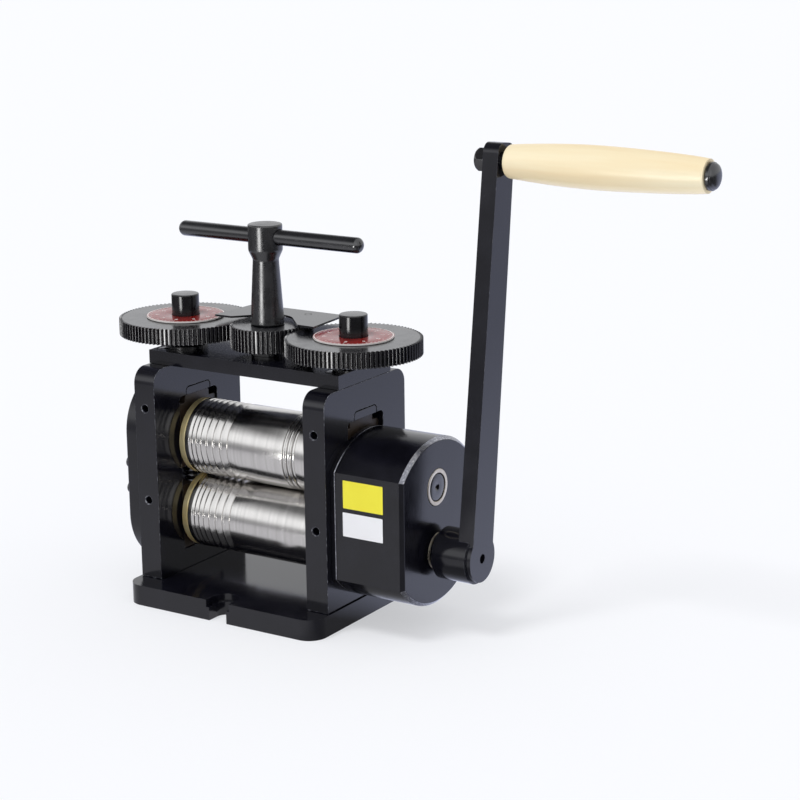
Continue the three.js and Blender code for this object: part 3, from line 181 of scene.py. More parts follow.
def arc(centre: Point, radius: float, start: float, end: float, steps: int = 24) -> list[Point]:
    """Returns points on an arc, its angles in degrees."""
    angles = [math.radians(start + (end - start) * step / steps) for step in range(steps + 1)]
    return [(centre[0] + radius * math.cos(a), centre[1] + radius * math.sin(a)) for a in angles]


def shoulders(half: float, top: float, radius: float, steps: int) -> tuple[list[Point], list[Point]]:
    """Returns the rounded upper right and upper left corners of an upright outline."""
    right, left, height = half - radius, radius - half, top - radius
    return arc((right, height), radius, 0, 90, steps), arc((left, height), radius, 90, 180, steps)


def rectangle(left: float, right: float, low: float, high: float) -> list[Point]:
    """Returns the corners of a rectangle."""
    return [(left, low), (right, low), (right, high), (left, high)]


def hexagon(width: float) -> list[Point]:
    """Returns a hexagon of that width across its flats."""
    return arc((0, 0), width / math.sqrt(3), 0, 300, 5)


def rounded(points: Profile, radius: float, steps: int = 4, closed: bool = False) -> list[Point]:
    """Rounds the corners of a line of points.

    Args:
        points: the corners.
        radius: how far a corner is cut back along each of its sides, at most.
        steps: segments in each rounded corner.
        closed: whether the line closes on itself.

    Returns:
        The points of the rounded line.
    """
    corners = [Vector(point) for point in points]
    count = len(corners)
    result: list[Point] = []
    for index, corner in enumerate(corners):
        if not closed and index in (0, count - 1):
            result.append(tuple(corner))
            continue
        before = corners[index - 1] - corner
        after = corners[(index + 1) % count] - corner
        reach = min(radius, before.length * 0.49, after.length * 0.49)
        first = corner + before.normalized() * reach
        last = corner + after.normalized() * reach
        for step in range(steps + 1):
            share = step / steps
            result.append(tuple(first.lerp(corner, share).lerp(corner.lerp(last, share), share)))
    return result


def turned(
    name: str, profile: Profile, axis: Axis = Axis.Z, place: Point = (0, 0), sides: int = 96, ring: bool = False
) -> Obj:
    """Turns a profile about an axis.

    Args:
        name: the object's name.
        profile: pairs of radius and distance along the axis.
        axis: the axis to turn about.
        place: the axis's two cross coordinates.
        sides: points in each ring.
        ring: whether the profile closes on itself, away from the axis.

    Returns:
        The turned object.
    """
    vertices: list[tuple[float, float, float]] = []
    rings: list[list[int]] = []
    for radius, along in profile:
        start = len(vertices)
        count = sides if radius > 1e-6 else 1
        for step in range(count):
            angle = math.tau * step / sides
            across = (place[0] + radius * math.cos(angle), place[1] + radius * math.sin(angle))
            vertices.append(axis.at(*across, along))
        rings.append(list(range(start, start + count)))
    faces: list[list[int]] = []
    for lower, upper in zip(rings, [*rings[1:], rings[0]] if ring else rings[1:]):
        for step in range(sides):
            corners = [lower[step % len(lower)], lower[(step + 1) % len(lower)]]
            corners += [upper[(step + 1) % len(upper)], upper[step % len(upper)]]
            face = list(dict.fromkeys(corners))
            if len(face) > 2:
                faces.append(face)
    return mesh_object(name, vertices, faces)


def extruded(name: str, outline: Profile, low: float, high: float, axis: Axis = Axis.Z) -> Obj:
    """Raises a flat outline along an axis.

    Args:
        name: the object's name.
        outline: the corners, across the axis.
        low: where the body starts on the axis.
        high: where it ends.
        axis: the axis to extrude along.

    Returns:
        The extruded object.
    """
    count = len(outline)
    vertices = [axis.at(a, b, along) for along in (low, high) for a, b in outline]
    faces: list[list[int]] = [list(reversed(range(count))), list(range(count, 2 * count))]
    for step in range(count):
        after = (step + 1) % count
        faces.append([step, after, count + after, count + step])
    return mesh_object(name, vertices, faces)


def rod(radius: float, low: float, high: float, axis: Axis = Axis.Z, place: Point = (0, 0)) -> Obj:
    """Makes a plain round cutter."""
    return turned("cutter", [(0, low), (radius, low), (radius, high), (0, high)], axis, place, 64)


def settle(obj: Obj) -> Obj:
    """Applies every modifier, so that the object is left a plain mesh."""
    graph = bpy.context.evaluated_depsgraph_get()
    mesh = bpy.data.meshes.new_from_object(obj.evaluated_get(graph), depsgraph=graph)
    obj.modifiers.clear()
    obj.data = mesh
    return obj


def combine(obj: Obj, operation: str, others: Sequence[Obj]) -> Obj:
    """Combines an object with other solids, and deletes them.

    Args:
        obj: the object that is kept.
        operation: UNION, DIFFERENCE or INTERSECT.
        others: the solids to join, cut or intersect with.

    Returns:
        The changed object.
    """
    for other in others:
        step = obj.modifiers.new("combine", "BOOLEAN")
        step.operation = operation
        step.solver = "EXACT"
        step.object = other
        settle(obj)
        bpy.data.objects.remove(other)
        face_outwards(obj, 2e-6)
    return obj


def carve(obj: Obj, *cutters: Obj) -> Obj:
    """Cuts holes into an object."""
    return combine(obj, "DIFFERENCE", cutters)


def weld(obj: Obj, *others: Obj) -> Obj:
    """Joins solids into one."""
    return combine(obj, "UNION", others)


def joined(name: str, parts: Sequence[Obj]) -> Obj:
    """Puts separate closed shells into one mesh object, each with its own materials."""
    with bpy.context.temp_override(active_object=parts[0], selected_editable_objects=list(parts)):
        bpy.ops.object.join()
    parts[0].name = name
    return parts[0]


def moved(obj: Obj, matrix: Matrix) -> Obj:
    """Moves a piece by changing its mesh, so that its object stays at the origin."""
    obj.data.transform(matrix)
    obj.data.update()
    return obj


def shift(x: float, y: float, z: float) -> Matrix:
    """Returns a move by those millimetres."""
    return Matrix.Translation(Vector((x, y, z)) * MM)


def smooth(obj: Obj, angle: float = 32.0) -> Obj:
    """Shades a mesh smooth, with its edges sharper than angle kept sharp."""
    work = bmesh.new()
    work.from_mesh(obj.data)
    for face in work.faces:
        face.smooth = True
    for edge in work.edges:
        edge.smooth = edge.calc_face_angle(math.pi) < math.radians(angle)
    work.to_mesh(obj.data)
    work.free()
    return obj


def shaded(obj: Obj, width: float = 0.4) -> Obj:
    """Shades a machined piece smooth round its curves and broken edges, and flat on its faces.

    Args:
        obj: the piece.
        width: the width of its broken edges.

    Returns:
        The piece.
    """
    work = bmesh.new()
    work.from_mesh(obj.data)
    strips = set()
    for face in work.faces:
        face.smooth = True
        longest = max(edge.calc_length() for edge in face.edges)
        if face.calc_area() < longest * width * MM:
            strips.add(face)
    for edge in work.edges:
        limit = 50 if strips.issuperset(edge.link_faces) else 9
        edge.smooth = edge.calc_face_angle(math.pi) < math.radians(limit)
    work.to_mesh(obj.data)
    work.free()
    even = obj.modifiers.new("even normals", "WEIGHTED_NORMAL")
    even.keep_sharp = True
    even.weight = 100
    return settle(obj)


def eased(obj: Obj, width: float, segments: int = 3, edge_slot: int = -1) -> Obj:
    """Breaks every sharp edge of a machined piece.

    Args:
        obj: the piece.
        width: the width of the broken edge.
        segments: faces across it.
        edge_slot: the material slot of the broken edges, or -1 for the face's own.

    Returns:
        The piece, shaded.
    """
    step = obj.modifiers.new("edges", "BEVEL")
    step.width = width * MM
    step.segments = segments
    step.limit_method = "ANGLE"
    step.angle_limit = math.radians(28)
    step.miter_outer = "MITER_ARC"
    step.material = edge_slot
    return shaded(settle(obj), width)


def rim_bevel(obj: Obj, plane: float, width: float, segments: int, edge_slot: int = -1) -> Obj:
    """Bevels the rim of one end of a body extruded along X, before anything is cut into it.

    Args:
        obj: the body.
        plane: where that end stands on X.
        width: the bevel's width.
        segments: faces across it.
        edge_slot: the material slot of the bevel, or -1 for the face's own.

    Returns:
        The body.
    """
    kind = "bevel_weight_edge"
    weights = obj.data.attributes.get(kind) or obj.data.attributes.new(kind, "FLOAT", "EDGE")
    for edge in obj.data.edges:
        ends = [obj.data.vertices[index].co.x / MM for index in edge.vertices]
        weights.data[edge.index].value = float(max(abs(end - plane) for end in ends) < 0.01)
    step = obj.modifiers.new("rim", "BEVEL")
    step.width = width * MM
    step.segments = segments
    step.limit_method = "WEIGHT"
    step.material = edge_slot
    return settle(obj)


# Materials


def linear(colour: str) -> tuple[float, float, float, float]:
    """Turns an sRGB hex colour into linear values."""
    parts = [int(colour[start : start + 2], 16) / 255 for start in (1, 3, 5)]
    return (*(p / 12.92 if p <= 0.04045 else ((p + 0.055) / 1.055) ** 2.4 for p in parts), 1.0)


def add_node(tree: Tree, kind: str, inputs: dict[Any, Any] | None = None, **settings: Any) -> Any:
    """Adds a node to a tree.

    Args:
        tree: the node tree.
        kind: the node's type.
        inputs: sockets by name or number, each with a value or with what feeds it.
        **settings: the node's own properties.

    Returns:
        The node's outputs.
    """
    node = tree.nodes.new(kind)
    for key, value in settings.items():
        setattr(node, key, value)
    for key, value in (inputs or {}).items():
        sources = value if isinstance(value, list) else [value]
        for source in sources:
            if isinstance(source, Socket):
                tree.links.new(source, node.inputs[key])
            else:
                node.inputs[key].default_value = source
    return node.outputs


@dataclass(frozen=True)
class Finish:
    """A surface, with the values of its real material and a pattern of real size."""

    name: str
    colour: str
    second: str
    roughness: float
    spread: float
    grain: float
    relief: float
    metallic: float = 0.0
    specular: float = 0.5
    coat: float = 0.0
    stretch: tuple[float, float, float] = (1.0, 1.0, 1.0)
    wave: float = 0.0
    ior: float = 1.5
    broad: float = 14.0

    def material(self) -> bpy.types.Material:
        """Returns the material, which is made once."""
        return bpy.data.materials.get(self.name) or self._build()

    def _build(self) -> bpy.types.Material:
        """Builds the node tree: two mixed tones, uneven roughness and a fine relief."""
        material = bpy.data.materials.new(self.name)
        material.use_nodes = True
        tree = material.node_tree
        tree.nodes.clear()
        place = add_node(tree, "ShaderNodeTexCoord")["Object"]
        mapped = add_node(tree, "ShaderNodeMapping", {"Vector": place, "Scale": self.stretch})[0]
        fine = self.pattern(tree, mapped, self.grain, 4)
        broad = self.pattern(tree, mapped, self.grain * self.broad, 3)
        tones = {0: self.blend(tree, mapped, fine, broad), 6: linear(self.colour), 7: linear(self.second)}
        low, high = self.roughness - self.spread, self.roughness + self.spread
        swell = {"Height": broad, "Strength": 1.0, "Distance": self.wave * MM}
        waved = add_node(tree, "ShaderNodeBump", swell)[0]
        grained = {"Height": fine, "Strength": 1.0, "Distance": self.relief * MM, "Normal": waved}
        surface = {
            "Base Color": add_node(tree, "ShaderNodeMix", tones, data_type="RGBA")[2],
            "Roughness": add_node(tree, "ShaderNodeMapRange", {0: broad, 1: 0.3, 2: 0.7, 3: low, 4: high})[0],
            "Normal": add_node(tree, "ShaderNodeBump", grained)[0],
            "Metallic": self.metallic,
            "IOR": self.ior,
            "Specular IOR Level": self.specular,
            "Coat Weight": self.coat,
            "Coat Roughness": 0.08,
        }
        shader = add_node(tree, "ShaderNodeBsdfPrincipled", surface)[0]
        add_node(tree, "ShaderNodeOutputMaterial", {"Surface": shader})
        return material

    def pattern(self, tree: Tree, place: Socket, size: float, detail: float) -> Socket:
        """Returns an uneven value whose features are size millimetres apart."""
        inputs = {"Vector": place, "Scale": 1 / (size * MM), "Detail": detail, "Roughness": 0.55}
        return add_node(tree, "ShaderNodeTexNoise", inputs)[0]

    def blend(self, tree: Tree, place: Socket, fine: Socket, broad: Socket) -> Socket:
        """Returns how much of the second tone shows, which drifts over the surface."""
        return add_node(tree, "ShaderNodeMapRange", {0: broad, 1: 0.35, 2: 0.68})[0]


@dataclass(frozen=True)
class WornEdge(Finish):
    """A broken edge in two tones mixed in short flecks, lighter than the face beside it: partly rubbed bare
    steel, partly painted highlight.
    """

    def blend(self, tree: Tree, place: Socket, fine: Socket, broad: Socket) -> Socket:
        """Returns light flecks a millimetre or two long."""
        return add_node(tree, "ShaderNodeMapRange", {0: fine, 1: 0.5, 2: 0.66})[0]


@dataclass(frozen=True)
class TurnedSteel(Finish):
    """Steel that was ground between centres, so that its fine scratches run round it."""

    pitch: float = 0.9

    def blend(self, tree: Tree, place: Socket, fine: Socket, broad: Socket) -> Socket:
        """Returns rings of slightly different tone."""
        lined = add_node(tree, "ShaderNodeMapping", {"Vector": place, "Scale": (1.0, 0.04, 0.04)})[0]
        rings = self.pattern(tree, lined, self.pitch, 2)
        return add_node(tree, "ShaderNodeMapRange", {0: rings, 1: 0.35, 2: 0.65})[0]


# Ground plate, hot blacked and oiled: blue black, and smooth enough to mirror what stands on it.
BLACKED_PLATE = Finish("blacked_plate", "#0e0e15", "#13131b", 0.13, 0.03, 1.4, 0.0012, wave=0.012)
# The same black on turned steel, where the oxide is thicker and throws back more light.
BLACKED_TURNED = Finish("blacked_turned", "#0b0b0f", "#111116", 0.2, 0.04, 0.6, 0.0015, ior=1.85)
# Blacked posts that are wiped bright by fingers.
BLACKED_POST = Finish("blacked_post", "#09090c", "#0f0f13", 0.16, 0.04, 0.7, 0.0015)
# The rougher black of a post that was left as it came off the lathe.
BLACKED_SATIN = Finish("blacked_satin", "#0c0c10", "#121217", 0.27, 0.05, 0.6, 0.002, ior=1.8)
# Black enamel over a casting: glossy, with a fine orange peel about a millimetre apart.
ENAMEL_ON_CASTING = Finish("enamel_on_casting", "#0d0d13", "#13131b", 0.18, 0.05, 1.2, 0.045)
# Broken edges of the blacked pieces: a lighter grey all along them, a painted highlight, with bare steel
# showing in short flecks where hands rub the black off.
RUBBED_EDGE_AND_HIGHLIGHT = WornEdge("rubbed_edge_and_painted_highlight", "#2b2b33", "#9a9ca4", 0.4, 0.05, 1.6, 0.006)
# A painted highlight on the cast gearbox's edges: pale metal with paler flecks, standing in for the light that
# its chamfer catches.
PAINTED_HIGHLIGHT_EDGE = WornEdge("edge_painted_highlight", "#85868e", "#d4d5da", 0.3, 0.05, 0.9, 0.004, metallic=1.0)
# Hardened and ground roller steel: bright, with very fine rings and a soft mirror.
ROLLER_STEEL = TurnedSteel(
    "roller_steel", "#d5d3d0", "#cbc9c6", 0.2, 0.03, 0.6, 0.002, metallic=1.0,
    stretch=(1.0, 0.05, 0.05), pitch=2.4,
)
# Machined steel on hidden gears and shafts.
BRIGHT_STEEL = TurnedSteel("machined_steel", "#a7a9ad", "#8f9196", 0.3, 0.05, 0.7, 0.002, metallic=1.0)
# Cast bearing bronze: pale yellow, scraped smooth.
BEARING_BRONZE = Finish("bearing_bronze", "#f2e3b0", "#dec78a", 0.34, 0.05, 0.8, 0.002, metallic=0.6)
# A bush's faced rim: paler and greyer than the rest of the bronze.
BUSH_FACE = Finish("bush_face", "#d8cfbd", "#c2b8a5", 0.3, 0.05, 0.8, 0.002, metallic=0.9)
# The same bronze in the plates' windows, painted dark as painted shade of the window recesses.
PAINTED_SHADE_BRONZE = Finish("bronze_painted_shade", "#1d1712", "#3d3024", 0.45, 0.05, 2.2, 0.004)
# Stoved red enamel on the dial plates, under a clear gloss.
DIAL_ENAMEL = Finish("dial_enamel", "#8c1a16", "#7e1511", 0.16, 0.03, 3.0, 0.0004, specular=0.4)
# White filling of the dial's marks.
MARK_WHITE = Finish("dial_mark_white", "#f4f1ee", "#e9e5e1", 0.35, 0.04, 0.8, 0.0005)
# Yellow and white printed film on the gearbox, left bare.
YELLOW_FILM = Finish("yellow_film", "#f7ee3c", "#f0e432", 0.42, 0.03, 4.0, 0.0006)
WHITE_FILM = Finish("white_film", "#f6f6f8", "#eeeef0", 0.42, 0.03, 4.0, 0.0006)
# The film's printed border.
FILM_BORDER = Finish("film_border", "#141416", "#1b1b1e", 0.4, 0.04, 4.0, 0.0006)
# Sanded beech under thin lacquer: pale cream, its grain running along the grip.
LACQUERED_BEECH = Finish(
    "lacquered_beech", "#fdf0cd", "#f6e0b4", 0.4, 0.05, 0.9, 0.006, stretch=(0.07, 1.0, 1.0), coat=0.1
)


def dress(piece: Obj, *finishes: Finish) -> Obj:
    """Gives a piece its finishes, in the order of its material slots."""
    piece.data.materials.clear()
    for finish in finishes:
        piece.data.materials.append(finish.material())
    return piece


def mount(piece: Obj, body: Body, nodes: Sequence[str] = ()) -> None:
    """Puts a finished piece on its moving body.

    Args:
        piece: the piece.
        body: the body that it moves with.
        nodes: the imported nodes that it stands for.
    """
    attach(piece, body.value)
    if nodes:
        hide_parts(*nodes)
    LOG.info("%s: %d faces on %s", piece.name, len(piece.data.polygons), body.value)


# Geometry Nodes


@dataclass
class NodeMaker:
    """A Geometry Nodes tree with named inputs, whose result is left as a plain mesh."""

    name: str
    values: dict[str, Any]
    tree: Tree = field(init=False)
    given: Any = field(init=False)

    def __post_init__(self) -> None:
        """Makes the tree and its sockets, each of the kind that its value asks for."""
        kinds = {int: "Int", float: "Float", tuple: "Vector", Obj: "Object", bpy.types.Material: "Material"}
        self.tree = bpy.data.node_groups.new(self.name, "GeometryNodeTree")
        sockets = {"Geometry": "Geometry"} | {label: kinds[type(value)] for label, value in self.values.items()}
        for label, kind in sockets.items():
            self.tree.interface.new_socket(label, in_out="INPUT", socket_type=f"NodeSocket{kind}")
        self.tree.interface.new_socket("Geometry", in_out="OUTPUT", socket_type="NodeSocketGeometry")
        self.given = add_node(self.tree, "NodeGroupInput")

    def add(self, kind: str, inputs: dict[Any, Any] | None = None, **settings: Any) -> Socket:
        """Adds a node and returns its first output."""
        return add_node(self.tree, kind, inputs, **settings)[0]

    def run(self, name: str, geometry: Socket, host: Obj | None = None) -> Obj:
        """Ends the tree and runs it.

        Args:
            name: the result's name.
            geometry: what the tree has built.
            host: the mesh that it runs on, or an empty one.

        Returns:
            The plain result, dressed in the finish that was given as Material.
        """
        real = self.add("GeometryNodeRealizeInstances", {0: geometry})
        inputs = {"Geometry": real, "Material": self.given["Material"]}
        add_node(self.tree, "NodeGroupOutput", {0: self.add("GeometryNodeSetMaterial", inputs)})
        host = host or mesh_object(name, [], [])
        step = host.modifiers.new(self.name, "NODES")
        step.node_group = self.tree
        sockets = {s.name: s.identifier for s in self.tree.interface.items_tree if s.in_out == "INPUT"}
        for label, value in self.values.items():
            step[sockets[label]] = value
        return settle(host)


@dataclass
class ToothedWheel:
    """A spur gear whose outline follows its tooth count, in steps of sixteen points a tooth."""

    teeth: int
    root: float
    tip: float
    low: float
    high: float
    phase: float = 0.0
    points_per_tooth: float = 16.0
    tip_half: float = 0.11
    root_half: float = 0.27

    def build(self, name: str, finish: Finish) -> Obj:
        """Returns the toothed disc about the Z axis.

        Args:
            name: the object's name.
            finish: its finish.

        Returns:
            The gear, its first tooth at the phase's angle.
        """
        values = {"Teeth": self.teeth, "Root radius": self.root * MM, "Tip radius": self.tip * MM}
        values |= {"Underside": self.low * MM, "Thickness": (self.high - self.low) * MM}
        values |= {"Phase": math.radians(self.phase), "Material": finish.material()}
        maker = NodeMaker("toothed_wheel", values)
        given, add, sum_of = maker.given, maker.add, "ShaderNodeMath"
        count = add(sum_of, {0: given["Teeth"], 1: self.points_per_tooth}, operation="MULTIPLY")
        circle = add("GeometryNodeMeshCircle", {"Vertices": count}, fill_type="NGON")
        index = add("GeometryNodeInputIndex")
        turns = add(sum_of, {0: index, 1: self.points_per_tooth}, operation="DIVIDE")
        within = add(sum_of, {0: add(sum_of, {0: turns}, operation="FRACT"), 1: 0.5}, operation="SUBTRACT")
        ends = {0: add(sum_of, {0: within}, operation="ABSOLUTE"), 1: self.tip_half, 2: self.root_half}
        radius = add("ShaderNodeMapRange", ends | {3: given["Tip radius"], 4: given["Root radius"]})
        pitch = add(sum_of, {0: math.tau, 1: given["Teeth"]}, operation="DIVIDE")
        middle = add(sum_of, {0: turns, 1: 0.5}, operation="SUBTRACT")
        swept = add(sum_of, {0: middle, 1: pitch}, operation="MULTIPLY")
        angle = add(sum_of, {0: swept, 1: given["Phase"]}, operation="ADD")
        across = [
            add(sum_of, {0: radius, 1: add(sum_of, {0: angle}, operation=part)}, operation="MULTIPLY")
            for part in ("COSINE", "SINE")
        ]
        spot = add("ShaderNodeCombineXYZ", {0: across[0], 1: across[1], 2: given["Underside"]})
        disc = add("GeometryNodeSetPosition", {"Geometry": circle, "Position": spot})
        rise = {"Mesh": disc, "Offset": (0.0, 0.0, 1.0), "Offset Scale": given["Thickness"]}
        rise["Individual"] = False
        shells = [add("GeometryNodeExtrudeMesh", rise), add("GeometryNodeFlipFaces", {0: disc})]
        whole = {"Geometry": add("GeometryNodeJoinGeometry", {0: shells}), "Distance": 1e-6}
        wheel = maker.run(name, add("GeometryNodeMergeByDistance", whole))
        face_outwards(wheel)
        return wheel


@dataclass
class RepeatedPiece:
    """Copies of one small piece, one at each point of a list."""

    piece: Obj
    places: list[Sequence[float]]
    turn: tuple[float, float, float] = (0.0, 0.0, 0.0)

    def build(self, name: str, finish: Finish) -> Obj:
        """Makes the copies, and deletes the piece that was copied.

        Args:
            name: the object's name.
            finish: the copies' finish.

        Returns:
            All the copies as one mesh.
        """
        turn = tuple(math.radians(value) for value in self.turn)
        maker = NodeMaker("repeated_piece", {"Piece": self.piece, "Turn": turn, "Material": finish.material()})
        shape = add_node(maker.tree, "GeometryNodeObjectInfo", {"Object": maker.given["Piece"]})["Geometry"]
        spots = {"Points": maker.given["Geometry"], "Instance": shape, "Rotation": maker.given["Turn"]}
        copies = maker.add("GeometryNodeInstanceOnPoints", spots)
        host = maker.run(name, copies, mesh_object(name, self.places, []))
        bpy.data.objects.remove(self.piece)
        return host


@dataclass
class DialTicks:
    """Radial marks evenly spaced round a dial."""

    count: int
    radius: float
    length: float
    width: float
    low: float
    height: float
    centre: Point

    def build(self, name: str, finish: Finish) -> Obj:
        """Returns the marks as one mesh.

        Args:
            name: the object's name.
            finish: the marks' finish.

        Returns:
            The marks.
        """
        mark_size = (self.length * MM, self.width * MM, self.height * MM)
        values = {"Count": self.count, "Radius": self.radius * MM, "Mark": mark_size}
        maker = NodeMaker("dial_ticks", values | {"Material": finish.material()})
        given, add = maker.given, maker.add
        circle = add("GeometryNodeMeshCircle", {"Vertices": given["Count"], "Radius": given["Radius"]})
        mark = add("GeometryNodeMeshCube", {"Size": given["Mark"]})
        step = add("ShaderNodeMath", {0: math.tau, 1: given["Count"]}, operation="DIVIDE")
        angle = add("ShaderNodeMath", {0: add("GeometryNodeInputIndex"), 1: step}, operation="MULTIPLY")
        turn = add("ShaderNodeCombineXYZ", {2: angle})
        spots = {"Points": circle, "Instance": mark, "Rotation": turn}
        marks = maker.run(name, add("GeometryNodeInstanceOnPoints", spots))
        return moved(marks, shift(*self.centre, self.low + self.height / 2))


@dataclass
class CoilSpring:
    """A compression spring of round wire."""

    radius: float
    wire: float
    turns: float
    low: float
    high: float
    centre: Point

    def build(self, name: str, finish: Finish) -> Obj:
        """Returns the coiled wire, with its ends closed.

        Args:
            name: the object's name.
            finish: the wire's finish.

        Returns:
            The spring.
        """
        values = {"Turns": self.turns, "Radius": self.radius * MM, "Wire radius": self.wire * MM}
        values |= {"Height": (self.high - self.low) * MM, "Material": finish.material()}
        maker = NodeMaker("coil_spring", values)
        given, add = maker.given, maker.add
        path = {"Resolution": 32, "Rotations": given["Turns"], "Height": given["Height"]}
        path |= {"Start Radius": given["Radius"], "End Radius": given["Radius"]}
        section = {"Resolution": 12, "Radius": given["Wire radius"]}
        ring = add("GeometryNodeCurvePrimitiveCircle", section)
        tube = {"Curve": add("GeometryNodeCurveSpiral", path), "Profile Curve": ring, "Fill Caps": True}
        spring = maker.run(name, add("GeometryNodeCurveToMesh", tube))
        face_outwards(spring)
        return smooth(moved(spring, shift(*self.centre, self.low)))


@dataclass(frozen=True)
class SocketScrew:
    """A screw with a hexagon socket, its head's top at the origin and its shank along -Z."""

    shank: float
    head: float
    head_height: float
    length: float
    socket: float
    countersunk: bool = False

    def build(self) -> Obj:
        """Returns one screw."""
        tip = -self.head_height - self.length
        under = (self.shank if self.countersunk else self.head, -self.head_height)
        corners = [(0, tip), (self.shank * 0.8, tip), (self.shank, tip + self.shank * 0.3)]
        corners += [(self.shank, -self.head_height), under, (self.head, -0.25), (self.head - 0.25, 0), (0, 0)]
        screw = turned("screw", rounded(list(dict.fromkeys(corners)), 0.15, 2), sides=48)
        depth = -self.head_height * 0.6
        return smooth(carve(screw, extruded("cutter", hexagon(self.socket), depth, OVERCUT)))

    def fasten(self, stem: str, spots: list[Sequence[float]], turn: tuple[float, float, float]) -> None:
        """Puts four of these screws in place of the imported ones.

        Args:
            stem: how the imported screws' names start.
            spots: where their heads' tops are.
            turn: how they are turned from upright, in degrees.
        """
        copies = RepeatedPiece(self.build(), spots, turn).build(f"{stem}s", BLACKED_TURNED)
        mount(copies, Body.FRAME, numbered(stem))

    def seat(self, face: float, far: float, place: Point) -> Obj:
        """Returns the cutter of the hole and the flared seat that this screw lies in.

        Args:
            face: the height of the face that its head lies under.
            far: where the hole ends.
            place: the screw's place in plan.

        Returns:
            The cutter.
        """
        out = math.copysign(OVERCUT, face - far)
        mouth, bore, depth = self.head + ROOM, self.shank + ROOM, self.head_height + ROOM
        profile = [(0, far), (bore, far), (bore, face - out * depth), (mouth, face)]
        profile += [(mouth, face + out), (0, face + out)]
        return turned("cutter", profile if out > 0 else profile[::-1], place=place, sides=48)


# Sub-assemblies


